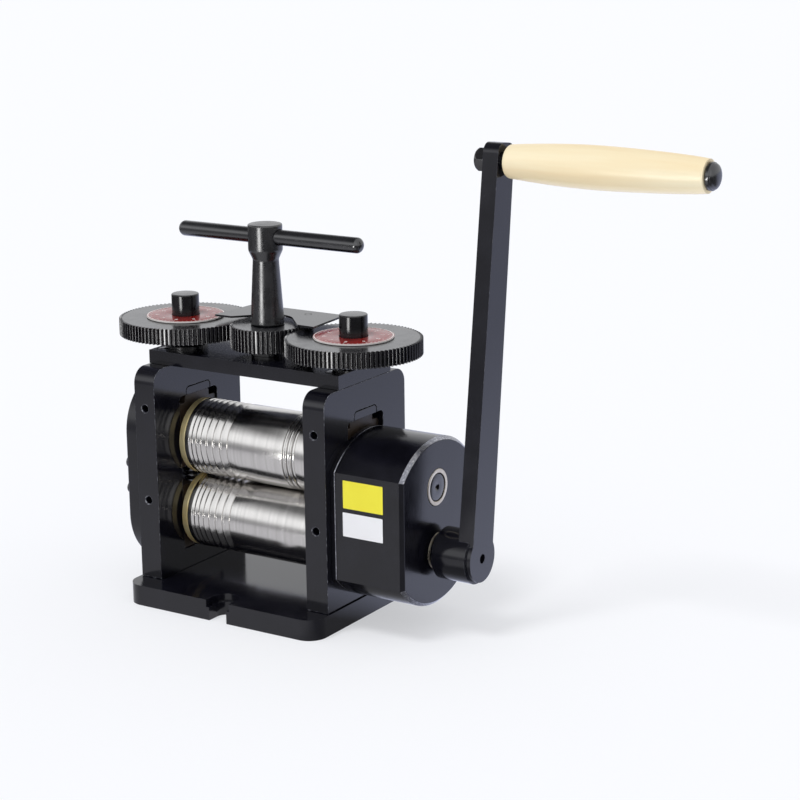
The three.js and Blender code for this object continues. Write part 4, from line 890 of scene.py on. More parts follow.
@dataclass
class FramePlates:
    """The base plate, the two side plates, the crosshead and the screws that hold them."""

    base_corner: float = 12.0
    plate_corner: float = 10.0
    slot_inset: float = 8.4
    slot_radius: float = 6.75
    recess_radius: float = 9.0
    ledge: float = 8.6
    edge: float = 0.55
    window_half: float = 20.0
    window_corner: float = 3.0
    window_drop: float = 24.3
    arch_half: float = 13.0
    arch_corner: float = 3.2
    arch_rise: float = 5.8
    strip_gap: float = 0.6
    strip_rise: float = 5.2
    strip_thickness: float = 0.9
    hole_radius: float = 2.5
    hole_depth: float = 10.0
    hole_chamfer: float = 0.4
    hole_pitch: float = 61.5
    hole_rise: float = 15.3
    screw_x: float = 66.0
    screw_bore: float = 6.3
    stud_bore: float = 5.1
    gearbox_screw_bore: float = 4.5
    base_screw: SocketScrew = SocketScrew(4, 7.5, 4, 24, 5, True)
    crosshead_screw: SocketScrew = SocketScrew(3, 6, 3.3, 14, 4, True)

    def build(self) -> None:
        """Builds every piece of the frame."""
        self.base_plate()
        for side in Side:
            self.side_plate(side)
        self.crosshead()
        top = Span.of("crosshead").high.z
        upper = [(x, y, top) for x, y, _ in centres("crosshead_screw")]
        lower = [(x, y, 0) for x, y, _ in centres("base_screw")]
        self.crosshead_screw.fasten("crosshead_screw", upper, (0, 0, 0))
        self.base_screw.fasten("base_screw", lower, (180, 0, 0))

    def base_plate(self) -> None:
        """Builds the base plate with its two stepped clamp slots."""
        span = Span.of("base_plate")
        half_x, half_y, top = span.high
        inset = self.base_corner
        outline: list[Point] = []
        for x, y, start in ((-1, -1, 180), (1, -1, 270), (1, 1, 0), (-1, 1, 90)):
            outline += arc((x * (half_x - inset), y * (half_y - inset)), inset, start, start + 90, 14)
        plate = extruded("base_plate_finished", outline, span.low.z, top)
        for turn in (0, math.pi):
            for radius, low in ((self.slot_radius, -OVERCUT), (self.recess_radius, self.ledge)):
                shape = arc((0, self.slot_inset - half_y), radius, 0, 180, 28)
                shape += [(-radius, -half_y - OVERCUT), (radius, -half_y - OVERCUT)]
                cutter = extruded("cutter", shape, low, top + OVERCUT)
                carve(plate, moved(cutter, Matrix.Rotation(turn, 4, "Z")))
        carve(plate, *(self.base_screw.seat(0, 20, (x, y)) for x, y, _ in centres("base_screw")))
        dress(plate, BLACKED_PLATE, RUBBED_EDGE_AND_HIGHLIGHT)
        mount(eased(plate, self.edge, 3, 1), Body.FRAME, ["base_plate"])

    def side_plate(self, side: Side) -> None:
        """Builds one side plate with its window, its tapped holes and its screw seats."""
        node = f"side_plate_{side.value}"
        span = Span.of(node)
        half, low, top = span.high.y, span.low.z, span.high.z
        right, left = shoulders(half, top, self.plate_corner, 14)
        outline = [(-half, low), (half, low), *right, *left]
        plate = extruded(f"{node}_finished", outline, span.low.x, span.high.x, Axis.X)
        carve(plate, self.window(span))
        first = Span.of("crank_bush").centre.z + self.hole_rise
        for z in (first, first + self.hole_pitch):
            carve(plate, self.tapped_hole(span.centre.x, span.low.y, z))
        carve(plate, rod(self.screw_bore, top - 20, top + OVERCUT, Axis.Z, (span.centre.x, 0)))
        if side is Side.RIGHT:
            for _, y, z in centres("gearbox_screw"):
                hole = rod(self.gearbox_screw_bore, span.low.x - OVERCUT, span.low.x + 5.2, Axis.X, (y, z))
                carve(plate, hole)
        dress(plate, BLACKED_PLATE, RUBBED_EDGE_AND_HIGHLIGHT)
        eased(plate, self.edge, 3, 1)
        strips = self.arch_strips(node, span)
        mount(joined(f"{node}_finished", [plate, *strips]), Body.FRAME, [node])

    def arch_strips(self, node: str, plate: Span) -> list[Obj]:
        """Closes a window's arch with two thin strips, flush with the plate's two faces.

        Args:
            node: the plate's node.
            plate: its box.

        Returns:
            The strips.
        """
        floor = Span.of("upper_bearing_right").high.z
        half, low, top = self.arch_half - self.strip_gap, floor + 0.2, floor + self.strip_rise
        right, left = shoulders(half, top, self.arch_corner - self.strip_gap, 10)
        strips = []
        for start in (plate.low.x + 0.1, plate.high.x - self.strip_thickness - 0.1):
            outline = [(-half, low), (half, low), *right, *left]
            strip = extruded(f"{node}_strip", outline, start, start + self.strip_thickness, Axis.X)
            strips.append(eased(dress(strip, BLACKED_PLATE, RUBBED_EDGE_AND_HIGHLIGHT), 0.15, 2))
        return strips

    def window(self, plate: Span) -> Obj:
        """Returns the cutter of the bearing window, with a rounded arch over the upper block."""
        bottom = Span.of("lower_roller").centre.z - self.window_drop
        upper = Span.of("upper_bearing_right").high.z
        shoulder, half, wide = upper + ROOM, self.window_half, self.arch_half
        right, left = shoulders(half, shoulder, self.window_corner, 8)
        arch_right, arch_left = shoulders(wide, upper + self.arch_rise, self.arch_corner, 10)
        outline = [(-half, bottom), (half, bottom), *right, (wide, shoulder), *arch_right]
        outline += [*arch_left, (-wide, shoulder), *left]
        return extruded("cutter", outline, plate.low.x - OVERCUT, plate.high.x + OVERCUT, Axis.X)

    def tapped_hole(self, x: float, y: float, z: float) -> Obj:
        """Returns the cutter of a tapped hole in a plate's front edge."""
        radius, step, depth = self.hole_radius, self.hole_chamfer, self.hole_depth
        mouth = radius + step
        profile = [(0, -depth), (radius, -depth), (radius, -step), (mouth, 0), (mouth, OVERCUT), (0, OVERCUT)]
        return moved(turned("cutter", profile, sides=48), shift(x, y, z) @ Matrix.Rotation(math.pi / 2, 4, "X"))

    def crosshead(self) -> None:
        """Builds the crosshead, with its countersunk screw seats."""
        low, high = Span.of("crosshead").low, Span.of("crosshead").high
        head = extruded("crosshead_finished", rectangle(low.x, high.x, low.y, high.y), low.z, high.z)
        for x, y, _ in centres("crosshead_screw"):
            carve(head, self.crosshead_screw.seat(high.z, low.z - OVERCUT, (x, y)))
        bores = ((-self.screw_x, self.screw_bore), (self.screw_x, self.screw_bore), (0, self.stud_bore))
        for x, radius in bores:
            carve(head, rod(radius, low.z - OVERCUT, high.z + OVERCUT, Axis.Z, (x, 0)))
        dress(head, BLACKED_PLATE, RUBBED_EDGE_AND_HIGHLIGHT)
        mount(eased(head, self.edge, 3, 1), Body.FRAME, ["crosshead"])


@dataclass
class RollerSet:
    """The two rollers, their bronze bearings and the springs between the bearings."""

    groove_start: float = 3.5
    wire_grooves: tuple[float, ...] = (2.2, 2.6, 3.0, 3.6, 4.2, 4.7, 5.0)
    half_round_start: float = 26.0
    half_rounds: tuple[float, ...] = (2.2, 2.6, 3.0)
    land: float = 1.0
    roller_radius: float = 25.0
    journal_radius: float = 15.0
    shaft_radius: float = 9.0
    half_length: float = 51.5
    edge: float = 0.4
    block_half: float = 19.7
    boss_half: float = 12.7
    boss_bevel: float = 1.2
    shoulder: float = 2.5
    block_start: float = 59.2
    block_recess: float = 3.0
    block_outer: float = 24.1
    block_inner: float = 18.7
    flange_radius: float = 24.8
    flange_thickness: float = 4.1
    neck_radius: float = 18.5
    wire: float = 1.0
    coil_radius: float = 5.0
    coils: float = 4.0

    def build(self) -> None:
        """Builds both rollers, the four bearings and the two springs."""
        for level, body in (("lower", Body.LOWER_ROLLER), ("upper", Body.UPPER_ROLLER)):
            self.roller(level, body)
        for side in Side:
            self.bearing(side, "lower", Body.FRAME)
            self.bearing(side, "upper", Body.CARRIAGE)
            self.spring(side)

    def roller(self, level: str, body: Body) -> None:
        """Builds one roller with its grooves, journals and shaft ends.

        Args:
            level: lower or upper.
            body: the body that it turns with.
        """
        span = Span.of(f"{level}_roller")
        end, edge, wide = self.half_length, self.edge, self.roller_radius
        thin, journal, journal_end = self.shaft_radius, self.journal_radius, Span.of("upper_roller").high.x
        head = [(0, span.low.x), (thin, span.low.x), (thin, -journal_end)]
        head += [(journal, -journal_end), (journal, -end)]
        barrel = [(wide - edge, -end), (wide, edge - end), *self.wire_profile()]
        if level == "upper":
            barrel += self.half_round_profile()
        barrel += [(wide, end - edge), (wide - edge, end)]
        tail = [(journal, end), (journal, journal_end)]
        if level == "lower":
            tail += [(thin, journal_end), (thin, span.high.x)]
        tail += [(0, span.high.x)]
        profile = rounded(head, 0.5, 2) + rounded(barrel, 0.14, 2) + rounded(tail, 0.5, 2)
        roller = turned(f"{level}_roller_finished", profile, Axis.X, (0, span.centre.z), 160)
        mount(dress(smooth(roller, 24), ROLLER_STEEL), body, [f"{level}_roller"])

    def wire_profile(self) -> list[Point]:
        """Returns the points across the wire grooves, each a right-angled V."""
        points: list[Point] = []
        x = self.groove_start - self.half_length
        for width in self.wire_grooves:
            points += [(self.roller_radius, x), (self.roller_radius - width / 2, x + width / 2)]
            points += [(self.roller_radius, x + width)]
            x += width + self.land
        return points

    def half_round_profile(self) -> list[Point]:
        """Returns the points across the half round grooves."""
        points: list[Point] = []
        x = self.half_round_start
        for width in self.half_rounds:
            points += [(self.roller_radius - r, a) for a, r in arc((x + width / 2, 0), width / 2, 180, 0, 8)]
            x += width + self.land
        return points

    def bearing(self, side: Side, level: str, body: Body) -> None:
        """Builds one bearing block with its round flange.

        Args:
            side: which roller end it carries.
            level: lower or upper.
            body: the body that it moves with.
        """
        node = f"{level}_bearing_{side.value}"
        span = Span.of(node)
        axis_z = Span.of(f"{level}_roller").centre.z
        inner, outer = sorted((abs(span.low.x), abs(span.high.x)))
        half, boss = self.block_half, self.boss_half
        if level == "lower":
            outline = rectangle(-half, half, axis_z - self.block_outer, axis_z + self.block_inner)
        else:
            low, high, top = axis_z - self.block_inner, axis_z + self.block_outer, span.high.z
            slope = top - self.boss_bevel
            right, left = shoulders(half, high, self.shoulder, 6)
            outline = [(-half, low), (half, low), *right, (boss, high), (boss, slope)]
            outline += [(boss - self.boss_bevel, top), (self.boss_bevel - boss, top)]
            outline += [(-boss, slope), (-boss, high), *left]
        block = extruded(f"{node}_finished", outline, self.block_start, outer - self.block_recess, Axis.X)
        ring = [(0, inner), (self.flange_radius, inner), (self.flange_radius, inner + self.flange_thickness)]
        ring += [(self.neck_radius, inner + self.flange_thickness), (self.neck_radius, self.block_start + 0.5)]
        flange = turned("flange", [*ring, (0, self.block_start + 0.5)], Axis.X, (0, axis_z), 128)
        # The block gets the bronze painted dark, a painted shade of the window recess; the flange ring gets the
        # pale bronze.
        for shell, finish in ((block, PAINTED_SHADE_BRONZE), (flange, BEARING_BRONZE)):
            bore = rod(self.journal_radius + 0.2, inner - OVERCUT, outer + OVERCUT, Axis.X, (0, axis_z))
            dress(carve(shell, bore), finish)
            if side is Side.LEFT:
                moved(shell, Matrix.Scale(-1, 4, (1, 0, 0)))
                face_outwards(shell)
            eased(shell, 0.3, 2)
        mount(joined(f"{node}_finished", [block, flange]), body, [node])

    def spring(self, side: Side) -> None:
        """Builds the spring between two bearings, at its length at rest, though the real one stretches as the
        upper bearing lifts.
        """
        node = f"return_spring_{side.value}"
        span = Span.of(node)
        x, low, high = span.centre.x, span.low.z, span.high.z
        coil = CoilSpring(self.coil_radius, self.wire, self.coils, low + self.wire, high - self.wire, (x, 0))
        piece = coil.build(f"{node}_finished", BRIGHT_STEEL)
        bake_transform(piece)
        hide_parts(node)
        LOG.info("%s stretches between its bearings", piece.name)


@dataclass
class GearCover:
    """The cast cover over the two roller gears on the left."""

    half_width: float = 37.0
    wall: float = 3.0
    edge: float = 1.6
    boss_radius: float = 5.0
    screw_bore: float = 2.3
    screw: SocketScrew = SocketScrew(2, 3.8, 2.8, 24, 2.5)

    def build(self) -> None:
        """Builds the cover and its four screws."""
        span = Span.of("left_gear_cover")
        start, end = span.low.x, span.high.x
        shell = extruded("left_gear_cover_finished", self.obround(span, self.half_width), start, end, Axis.X)
        rim_bevel(dress(shell, ENAMEL_ON_CASTING), start, self.edge, 5)
        inside = self.obround(span, self.half_width - self.wall)
        carve(shell, extruded("cutter", inside, start + self.wall, end + OVERCUT, Axis.X))
        places = [(y, z) for _, y, z in centres("cover_screw")]
        for place in places:
            weld(shell, rod(self.boss_radius, start + 1, end - 0.2, Axis.X, place))
        for place in places:
            carve(shell, rod(self.screw_bore, start - OVERCUT, end + OVERCUT, Axis.X, place))
        mount(shaded(shell), Body.FRAME, ["left_gear_cover"])
        head = Span.of("cover_screw_1").low.x
        self.screw.fasten("cover_screw", [(head, *place) for place in places], (0, -90, 0))

    def obround(self, span: Span, radius: float) -> list[Point]:
        """Returns an upright outline with two round ends."""
        low, high = (0, span.low.z + self.half_width), (0, span.high.z - self.half_width)
        return arc(low, radius, 180, 360, 40) + arc(high, radius, 0, 180, 40)


@dataclass
class Gearbox:
    """The reduction gearbox: flange plate, housing, bushes, countershaft and the two bare labels."""

    radius: float = 53.7
    half_width: float = 41.0
    end_edge: float = 2.2
    upright: float = 0.15
    wall: float = 6.0
    gear_room: float = 29.6
    boss_radius: float = 11.7
    bush_bore: float = 9.1
    flange_boss: float = 11.0
    flange_gap: float = 0.35
    tail_radius: float = 6.0
    shaft_radius: float = 8.5
    dimple: float = 2.2
    pinion: tuple[int, float, float] = (18, 11.9, 15.2)
    label_thickness: float = 0.25
    label_border: float = 0.35
    labels: tuple[tuple[str, tuple[float, float, float, float], Finish], ...] = (
        ("label_yellow", (83.2, 113.0, 83.0, 101.5), YELLOW_FILM),
        ("label_white", (82.8, 112.7, 64.9, 81.0), WHITE_FILM),
    )
    screw: SocketScrew = SocketScrew(2.5, 4.2, 5, 32, 4)
    crank_z: float = field(init=False)
    shaft_z: float = field(init=False)

    def __post_init__(self) -> None:
        """Reads the heights of the two shafts."""
        self.crank_z = Span.of("crank_bush").centre.z
        self.shaft_z = Span.of("countershaft").centre.z

    def build(self) -> None:
        """Builds every piece of the gearbox."""
        self.flange()
        self.housing()
        self.bushes()
        self.countershaft()
        for name, edges, finish in self.labels:
            self.label(name, edges, finish)
        inner = Span.of("gearbox_screw_1").low.x
        spots = [(inner, y, z) for _, y, z in centres("gearbox_screw")]
        self.screw.fasten("gearbox_screw", spots, (0, -90, 0))

    def outline(self, centre_z: float) -> list[Point]:
        """Returns the circle cut by two upright flats that the housing and its flange share."""
        edge = math.degrees(math.acos(self.half_width / self.radius))
        centre = (0, centre_z)
        upper = arc(centre, self.radius, edge, 180 - edge, 56)
        return upper + arc(centre, self.radius, 180 + edge, 360 - edge, 56)

    def flange(self) -> None:
        """Builds the flange plate with its bearing boss."""
        span = Span.of("gearbox_flange")
        start, shaft, crank = span.low.x, (0, self.shaft_z), (0, self.crank_z)
        end = Span.of("gearbox_housing").low.x - self.flange_gap
        plate = extruded("gearbox_flange_finished", self.outline(span.centre.z), start, end, Axis.X)
        dress(plate, ENAMEL_ON_CASTING, PAINTED_HIGHLIGHT_EDGE)
        # The rim bevel gets the painted highlight.
        rim_bevel(plate, end, 0.6, 2, 1)
        weld(plate, rod(self.flange_boss, end - 0.5, span.high.x, Axis.X, shaft))
        carve(plate, rod(self.tail_radius + 0.2, start + 1, span.high.x + OVERCUT, Axis.X, shaft))
        carve(plate, rod(9.3, start - OVERCUT, end + OVERCUT, Axis.X, crank))
        mount(shaded(plate), Body.FRAME, ["gearbox_flange"])

    def housing(self) -> None:
        """Builds the hollow housing with its wide chamfer round the end face, with a painted highlight on its
        curves.
        """
        span = Span.of("gearbox_housing")
        start, end = span.low.x, span.high.x
        shell = extruded("gearbox_housing_finished", self.outline(span.centre.z), start, end, Axis.X)
        dress(shell, ENAMEL_ON_CASTING, PAINTED_HIGHLIGHT_EDGE)
        rim_bevel(shell, end, self.end_edge, 1, 1)
        # Painted highlight only on the chamfer's curves; its upright stretches beside the flats keep the dark
        # enamel.
        for face in shell.data.polygons:
            if abs(face.normal.z) < self.upright:
                face.material_index = 0
        rim_bevel(shell, end, 0.35, 2)
        for radius, low, high in (
            (self.gear_room, start - OVERCUT, end - self.wall),
            (self.boss_radius + ROOM, end - self.wall - OVERCUT, end + OVERCUT),
        ):
            for axis_z in (self.crank_z, self.shaft_z):
                carve(shell, rod(radius, low, high, Axis.X, (0, axis_z)))
        mount(shaded(shell), Body.FRAME, ["gearbox_housing"])

    def bushes(self) -> None:
        """Builds the two bushes whose polished rims show in the end face."""
        for node in ("countershaft_bush", "crank_bush"):
            span = Span.of(node)
            inner, outer, low, high = self.bush_bore, self.boss_radius, span.low.x, span.high.x
            corners = rounded([(inner, low), (outer, low), (outer, high), (inner, high)], 0.4, 3, True)
            ring = turned(f"{node}_finished", corners, Axis.X, (0, span.centre.z), ring=True)
            mount(dress(smooth(ring), BUSH_FACE), Body.FRAME, [node])

    def countershaft(self) -> None:
        """Builds the countershaft, with the small gear cut in it."""
        low, high = Span.of("countershaft").low.x, Span.of("countershaft").high.x
        tail_end = Span.of("gearbox_flange").high.x + ROOM
        drive = Span.of("roller_drive_gear")
        tail, radius = self.tail_radius, self.shaft_radius
        profile = [(0, low), (tail, low), (tail, tail_end), (radius, tail_end), (radius, high)]
        profile = rounded([*profile, (self.dimple, high), (0, high - self.dimple)], 0.4, 2)
        shaft = turned("countershaft_finished", profile, Axis.X, (0, self.shaft_z))
        dress(smooth(shaft), BLACKED_TURNED)
        pinion = ToothedWheel(*self.pinion, drive.low.x, drive.high.x, 270).build("pinion", BRIGHT_STEEL)
        lay = Matrix(((0, 0, 1, 0), (1, 0, 0, 0), (0, 1, 0, self.shaft_z * MM), (0, 0, 0, 1)))
        smooth(moved(pinion, lay), 24)
        whole = joined("countershaft_finished", [shaft, pinion])
        mount(whole, Body.COUNTERSHAFT, ["countershaft"])

    def label(self, name: str, edges: tuple[float, float, float, float], finish: Finish) -> None:
        """Builds one bare label on the housing's front flat, on a thin black border.

        Args:
            name: the label's name.
            edges: its left, right, lower and upper edge.
            finish: its film.
        """
        front = Span.of("gearbox_housing").low.y
        stand = Matrix(((1, 0, 0, 0), (0, 0, -1, front * MM), (0, 1, 0, 0), (0, 0, 0, 1)))
        line, rise = self.label_border, self.label_thickness
        inside = [edge + inward * line for edge, inward in zip(edges, (1, -1, 1, -1))]
        layers = []
        for box, turn, low, high, film in (
            (edges, 0.9, 0, rise * 0.6, FILM_BORDER),
            (inside, 0.5, rise * 0.5, rise, finish),
        ):
            sheet = extruded(name, rounded(rectangle(*box), turn, 3, True), low, high)
            layers.append(dress(eased(moved(sheet, stand), 0.05, 1), film))
        mount(joined(name, layers), Body.FRAME)


@dataclass
class Crank:
    """The crank arm with its hub, the bolt and nut, and the beech grip."""

    hub_radius: float = 16.5
    hub_lead: float = 4.5
    shaft_bore: float = 8.8
    bore_depth: float = 24.0
    standout: float = 3.3
    foot_radius: float = 15.0
    lower_width: float = 24.3
    upper_width: float = 19.5
    overhang: float = 11.0
    corner: float = 6.5
    edge: float = 0.55
    bolt_bore: float = 4.3
    bolt_radius: float = 4.0
    bolt_shoulder: float = 5.0
    bolt_head: float = 8.3
    bolt_height: float = 6.0
    nut_width: float = 14.0
    thickness: float = 10.5
    face_hole: float = 3.0
    grip_bore: float = 5.4
    grip_stations: tuple[Point, ...] = (
        (0.0, 9.1), (0.006, 9.9), (0.02, 10.3), (0.08, 11.0), (0.16, 11.75), (0.25, 12.45), (0.36, 12.98),
        (0.46, 13.15), (0.58, 12.92), (0.7, 12.45), (0.8, 11.92), (0.9, 11.2), (0.96, 10.6), (1.0, 10.0),
    )
    radius: float = field(init=False)
    lean: Matrix = field(init=False)

    def __post_init__(self) -> None:
        """Works out the crank's length and lean from where the grip stands."""
        axis_z = Span.of("crank_bush").centre.z
        grip = Span.of("grip").centre
        reach = Vector((grip.y, grip.z - axis_z))
        self.radius = reach.length
        self.lean = shift(0, 0, axis_z) @ Matrix.Rotation(-math.atan2(reach.x, reach.y), 4, "X")

    def build(self) -> None:
        """Builds the arm, the bolt, the nut and the grip."""
        self.arm()
        self.grip()
        self.bolt()
        self.nut()

    def arm(self) -> None:
        """Builds the tapering arm, forged in one with its hub."""
        span = Span.of("crank_arm")
        start, outer = span.low.x, span.high.x
        inner, hub_end = outer - self.thickness, outer - self.standout
        arm = extruded("crank_arm_finished", self.arm_outline(), inner, outer, Axis.X)
        hub = [(0, start), (self.hub_radius - self.hub_lead, start), (self.hub_radius, start + self.hub_lead)]
        weld(arm, turned("cutter", [*hub, (self.hub_radius, hub_end), (0, hub_end)], Axis.X, sides=128))
        carve(arm, rod(self.face_hole, outer - 6, outer + OVERCUT, Axis.X))
        carve(arm, rod(self.shaft_bore, start - OVERCUT, start + self.bore_depth, Axis.X))
        carve(arm, rod(self.bolt_bore, inner - OVERCUT, outer + OVERCUT, Axis.X, (0, self.radius)))
        dress(arm, BLACKED_PLATE, RUBBED_EDGE_AND_HIGHLIGHT)
        eased(arm, self.edge, 3, 1)
        mount(moved(arm, self.lean), Body.CRANK, ["crank_arm"])

    def arm_outline(self) -> list[Point]:
        """Returns the arm's outline: a round foot, two tapering sides and a flat top with round corners."""
        low_half, foot = self.lower_width / 2, self.foot_radius
        meet = math.degrees(math.asin(math.sqrt(foot**2 - low_half**2) / foot))
        right, left = shoulders(self.upper_width / 2, self.radius + self.overhang, self.corner, 12)
        return arc((0, 0), foot, 180 - meet, 360 + meet, 60) + right + left

    def grip(self) -> None:
        """Builds the turned grip: slim at the arm, fullest past its middle."""
        span = Span.of("grip")
        low, high, bore = span.low.x, span.high.x, self.grip_bore
        outside = [(radius, low + share * (high - low)) for share, radius in self.flowing(self.grip_stations)]
        profile = [(bore, low), *outside, (bore, high)]
        grip = turned("grip_finished", profile, Axis.X, (0, self.radius), 128, ring=True)
        dress(smooth(grip, 40), LACQUERED_BEECH)
        mount(moved(grip, self.lean), Body.GRIP, ["grip"])

    def flowing(self, stations: Sequence[Point], steps: int = 8) -> list[Point]:
        """Returns a smooth curve through the stations.

        Args:
            stations: the points that it goes through.
            steps: points from one station to the next.

        Returns:
            The curve's points.
        """
        spots = [Vector(station) for station in stations]
        padded = [spots[0], *spots, spots[-1]]
        result: list[Point] = []
        for a, b, c, d in zip(padded, padded[1:], padded[2:], padded[3:]):
            for step in range(steps):
                t = step / steps
                spot = 0.5 * (2 * b + (c - a) * t + (2 * a - 5 * b + 4 * c - d) * t**2)
                spot += 0.5 * (3 * b - a - 3 * c + d) * t**3
                result.append(tuple(spot))
        return [*result, stations[-1]]

    def bolt(self) -> None:
        """Builds the shouldered bolt whose domed head holds the grip."""
        span = Span.of("handle_bolt")
        low, top = span.low.x, span.high.x
        arm = Span.of("crank_arm").high.x + 0.2
        wide, thin, thick = self.bolt_head, self.bolt_radius, self.bolt_shoulder
        crown, head = wide * 0.93, top - self.bolt_height
        rim = head + 0.42 * self.bolt_height
        profile = [(0, low), (thin, low), (thin, arm), (thick, arm), (thick, head), (wide, head), (wide, rim)]
        profile = rounded([*profile, (crown, rim + 0.4)], 0.35, 3)
        angles = [math.pi / 2 * step / 12 for step in range(1, 12)]
        dome = top - rim - 0.4
        profile += [(crown * math.cos(a), rim + 0.4 + dome * math.sin(a)) for a in angles]
        bolt = turned("handle_bolt_finished", [*profile, (0, top)], Axis.X, (0, self.radius))
        dress(smooth(bolt), BLACKED_TURNED)
        mount(moved(bolt, self.lean), Body.CRANK, ["handle_bolt"])

    def nut(self) -> None:
        """Builds the hexagon nut on the bolt's inner end, its corners turned down to a cone."""
        span = Span.of("handle_nut")
        low, high, axis = span.low.x, span.high.x, (0, self.radius)
        corners = [(a, b + self.radius) for a, b in hexagon(self.nut_width)]
        nut = extruded("handle_nut_finished", corners, low, high, Axis.X)
        mouth, reach = self.nut_width / 2 * 0.94, self.nut_width / math.sqrt(3) + 0.1
        cone = [(0, low - OVERCUT), (mouth, low - OVERCUT), (mouth, low), (reach, low + 2.6)]
        cone += [(reach, high + OVERCUT), (0, high + OVERCUT)]
        combine(nut, "INTERSECT", [turned("cutter", cone, Axis.X, axis)])
        carve(nut, rod(self.bolt_bore, low - OVERCUT, high + OVERCUT, Axis.X, axis))
        eased(dress(nut, BLACKED_TURNED), 0.25, 2)
        mount(moved(nut, self.lean), Body.CRANK, ["handle_nut"])


@dataclass
class GapSetting:
    """The gears on top that turn both adjusting screws together, with their dials and pointer."""

    dial_teeth: int = 93
    pinion_teeth: int = 51
    tooth_height: float = 2.0
    tooth_edge: float = 0.22
    rim_rise: float = 7.1
    hub_radius: float = 14.0
    post_radius: float = 9.0
    post_rise: float = 1.2
    thread_radius: float = 6.0
    dial_radius: float = 25.5
    rim_width: float = 0.6
    rim_inset: float = 0.4
    numbered_marks: int = 10
    marks: int = 50
    mark_rise: float = 0.04
    number_radius: float = 18.4
    number_height: float = 4.2
    spigot_radius: float = 8.0
    cone_radii: tuple[float, float] = (10.9, 8.3)
    cone_height: float = 42.0
    head_radius: float = 11.0
    head_start: float = 47.8
    bar_radius: float = 5.0
    bar_dome: float = 4.0
    notch: Point = (26.0, 0.5)
    notch_radius: float = 16.3
    wing_taper: float = 2.6
    wing_corner: float = 3.0

    def build(self) -> None:
        """Builds both dials, both posts, the pinion, the T-handle and the pointer plate."""
        for side, dial, screw in (
            (Side.LEFT, Body.DIAL_LEFT, Body.SCREW_LEFT),
            (Side.RIGHT, Body.DIAL_RIGHT, Body.SCREW_RIGHT),
        ):
            self.dial_gear(side, dial)
            self.dial_face(side, dial)
            self.post(side, screw)
        self.pinion()
        self.t_handle()
        self.pointer_plate()

    def dial_gear(self, side: Side, body: Body) -> None:
        """Builds one large gear with its hub, its teeth set to mesh with the pinion's."""
        node = f"dial_gear_{side.value}"
        span = Span.of(node)
        low, high, tip = span.low.z, span.high.z, span.size.y / 2
        rim_low, bore = low + self.rim_rise, self.post_radius + ROOM
        phase = 0.0 if side is Side.LEFT else 180 + 180 / self.dial_teeth
        wheel = ToothedWheel(self.dial_teeth, tip - self.tooth_height, tip, rim_low, high, phase)
        gear = wheel.build(f"{node}_finished", BLACKED_TURNED)
        carve(gear, rod(bore, rim_low - OVERCUT, high + OVERCUT))
        eased(gear, self.tooth_edge, 2)
        hub = rounded(rectangle(bore, self.hub_radius, low, rim_low + 0.3), 0.4, 2, True)
        neck = dress(smooth(turned("hub", hub, ring=True)), BLACKED_TURNED)
        gear = moved(joined(f"{node}_finished", [gear, neck]), shift(span.centre.x, 0, 0))
        mount(gear, body, [node])

    def dial_face(self, side: Side, body: Body) -> None:
        """Builds one dial plate with its white rim, marks and numbers."""
        node = f"dial_plate_{side.value}"
        span = Span.of(node)
        centre = (span.centre.x, 0)
        corners = rectangle(self.post_radius + ROOM, self.dial_radius, span.low.z, span.high.z - self.mark_rise)
        plate = turned(f"{node}_finished", rounded(corners, 0.15, 2, True), place=centre, ring=True)
        dress(smooth(plate), DIAL_ENAMEL, MARK_WHITE)
        for face in plate.data.polygons:
            outwards = face.center.xy / MM - Vector(centre)
            face.material_index = int(outwards.length > self.dial_radius - 0.1 and face.normal.z > -0.5)
        mount(plate, body, [node])
        rise = self.mark_rise * 1.5
        low, outer = span.high.z - rise, self.dial_radius - self.rim_inset
        rim = rectangle(outer - self.rim_width, outer, low, low + rise)
        reach = outer - self.rim_width - 0.5
        fine = DialTicks(self.marks, reach - 0.8, 1.6, 0.22, low, rise, centre)
        bold = DialTicks(self.numbered_marks, reach - 1.3, 2.6, 0.4, low, rise, centre)
        parts = [dress(turned("rim", rim, place=centre, ring=True), MARK_WHITE)]
        parts += [fine.build("fine", MARK_WHITE), bold.build("bold", MARK_WHITE)]
        parts += [self.number(index, centre, low, rise) for index in range(self.numbered_marks)]
        mount(joined(f"dial_marks_{side.value}", parts), body)

    def number(self, index: int, centre: Point, low: float, rise: float) -> Obj:
        """Returns one number of the dial, upright as seen from the dial's edge.

        Args:
            index: which of the numbered marks it belongs to.
            centre: the dial's centre.
            low: the height of its underside.
            rise: its thickness.

        Returns:
            The number as a mesh.
        """
        words = bpy.data.curves.new("number", "FONT")
        words.body = str(index)
        words.size = self.number_height
        words.extrude = rise / 2
        words.align_x = "CENTER"
        words.align_y = "CENTER"
        words.resolution_u = 3
        source = linked("number", words)
        graph = bpy.context.evaluated_depsgraph_get()
        mesh = bpy.data.meshes.new_from_object(source.evaluated_get(graph), depsgraph=graph)
        bpy.data.objects.remove(source)
        angle = math.tau * index / self.numbered_marks
        outward = Matrix.Rotation(angle + math.pi / 2, 4, "Z")
        x, y = centre[0] + self.number_radius * math.cos(angle), self.number_radius * math.sin(angle)
        mesh.transform(shift(x, y, low + rise / 2) @ outward @ Matrix.Scale(MM, 4))
        number = linked("number", mesh)
        face_outwards(number)
        return dress(number, MARK_WHITE)

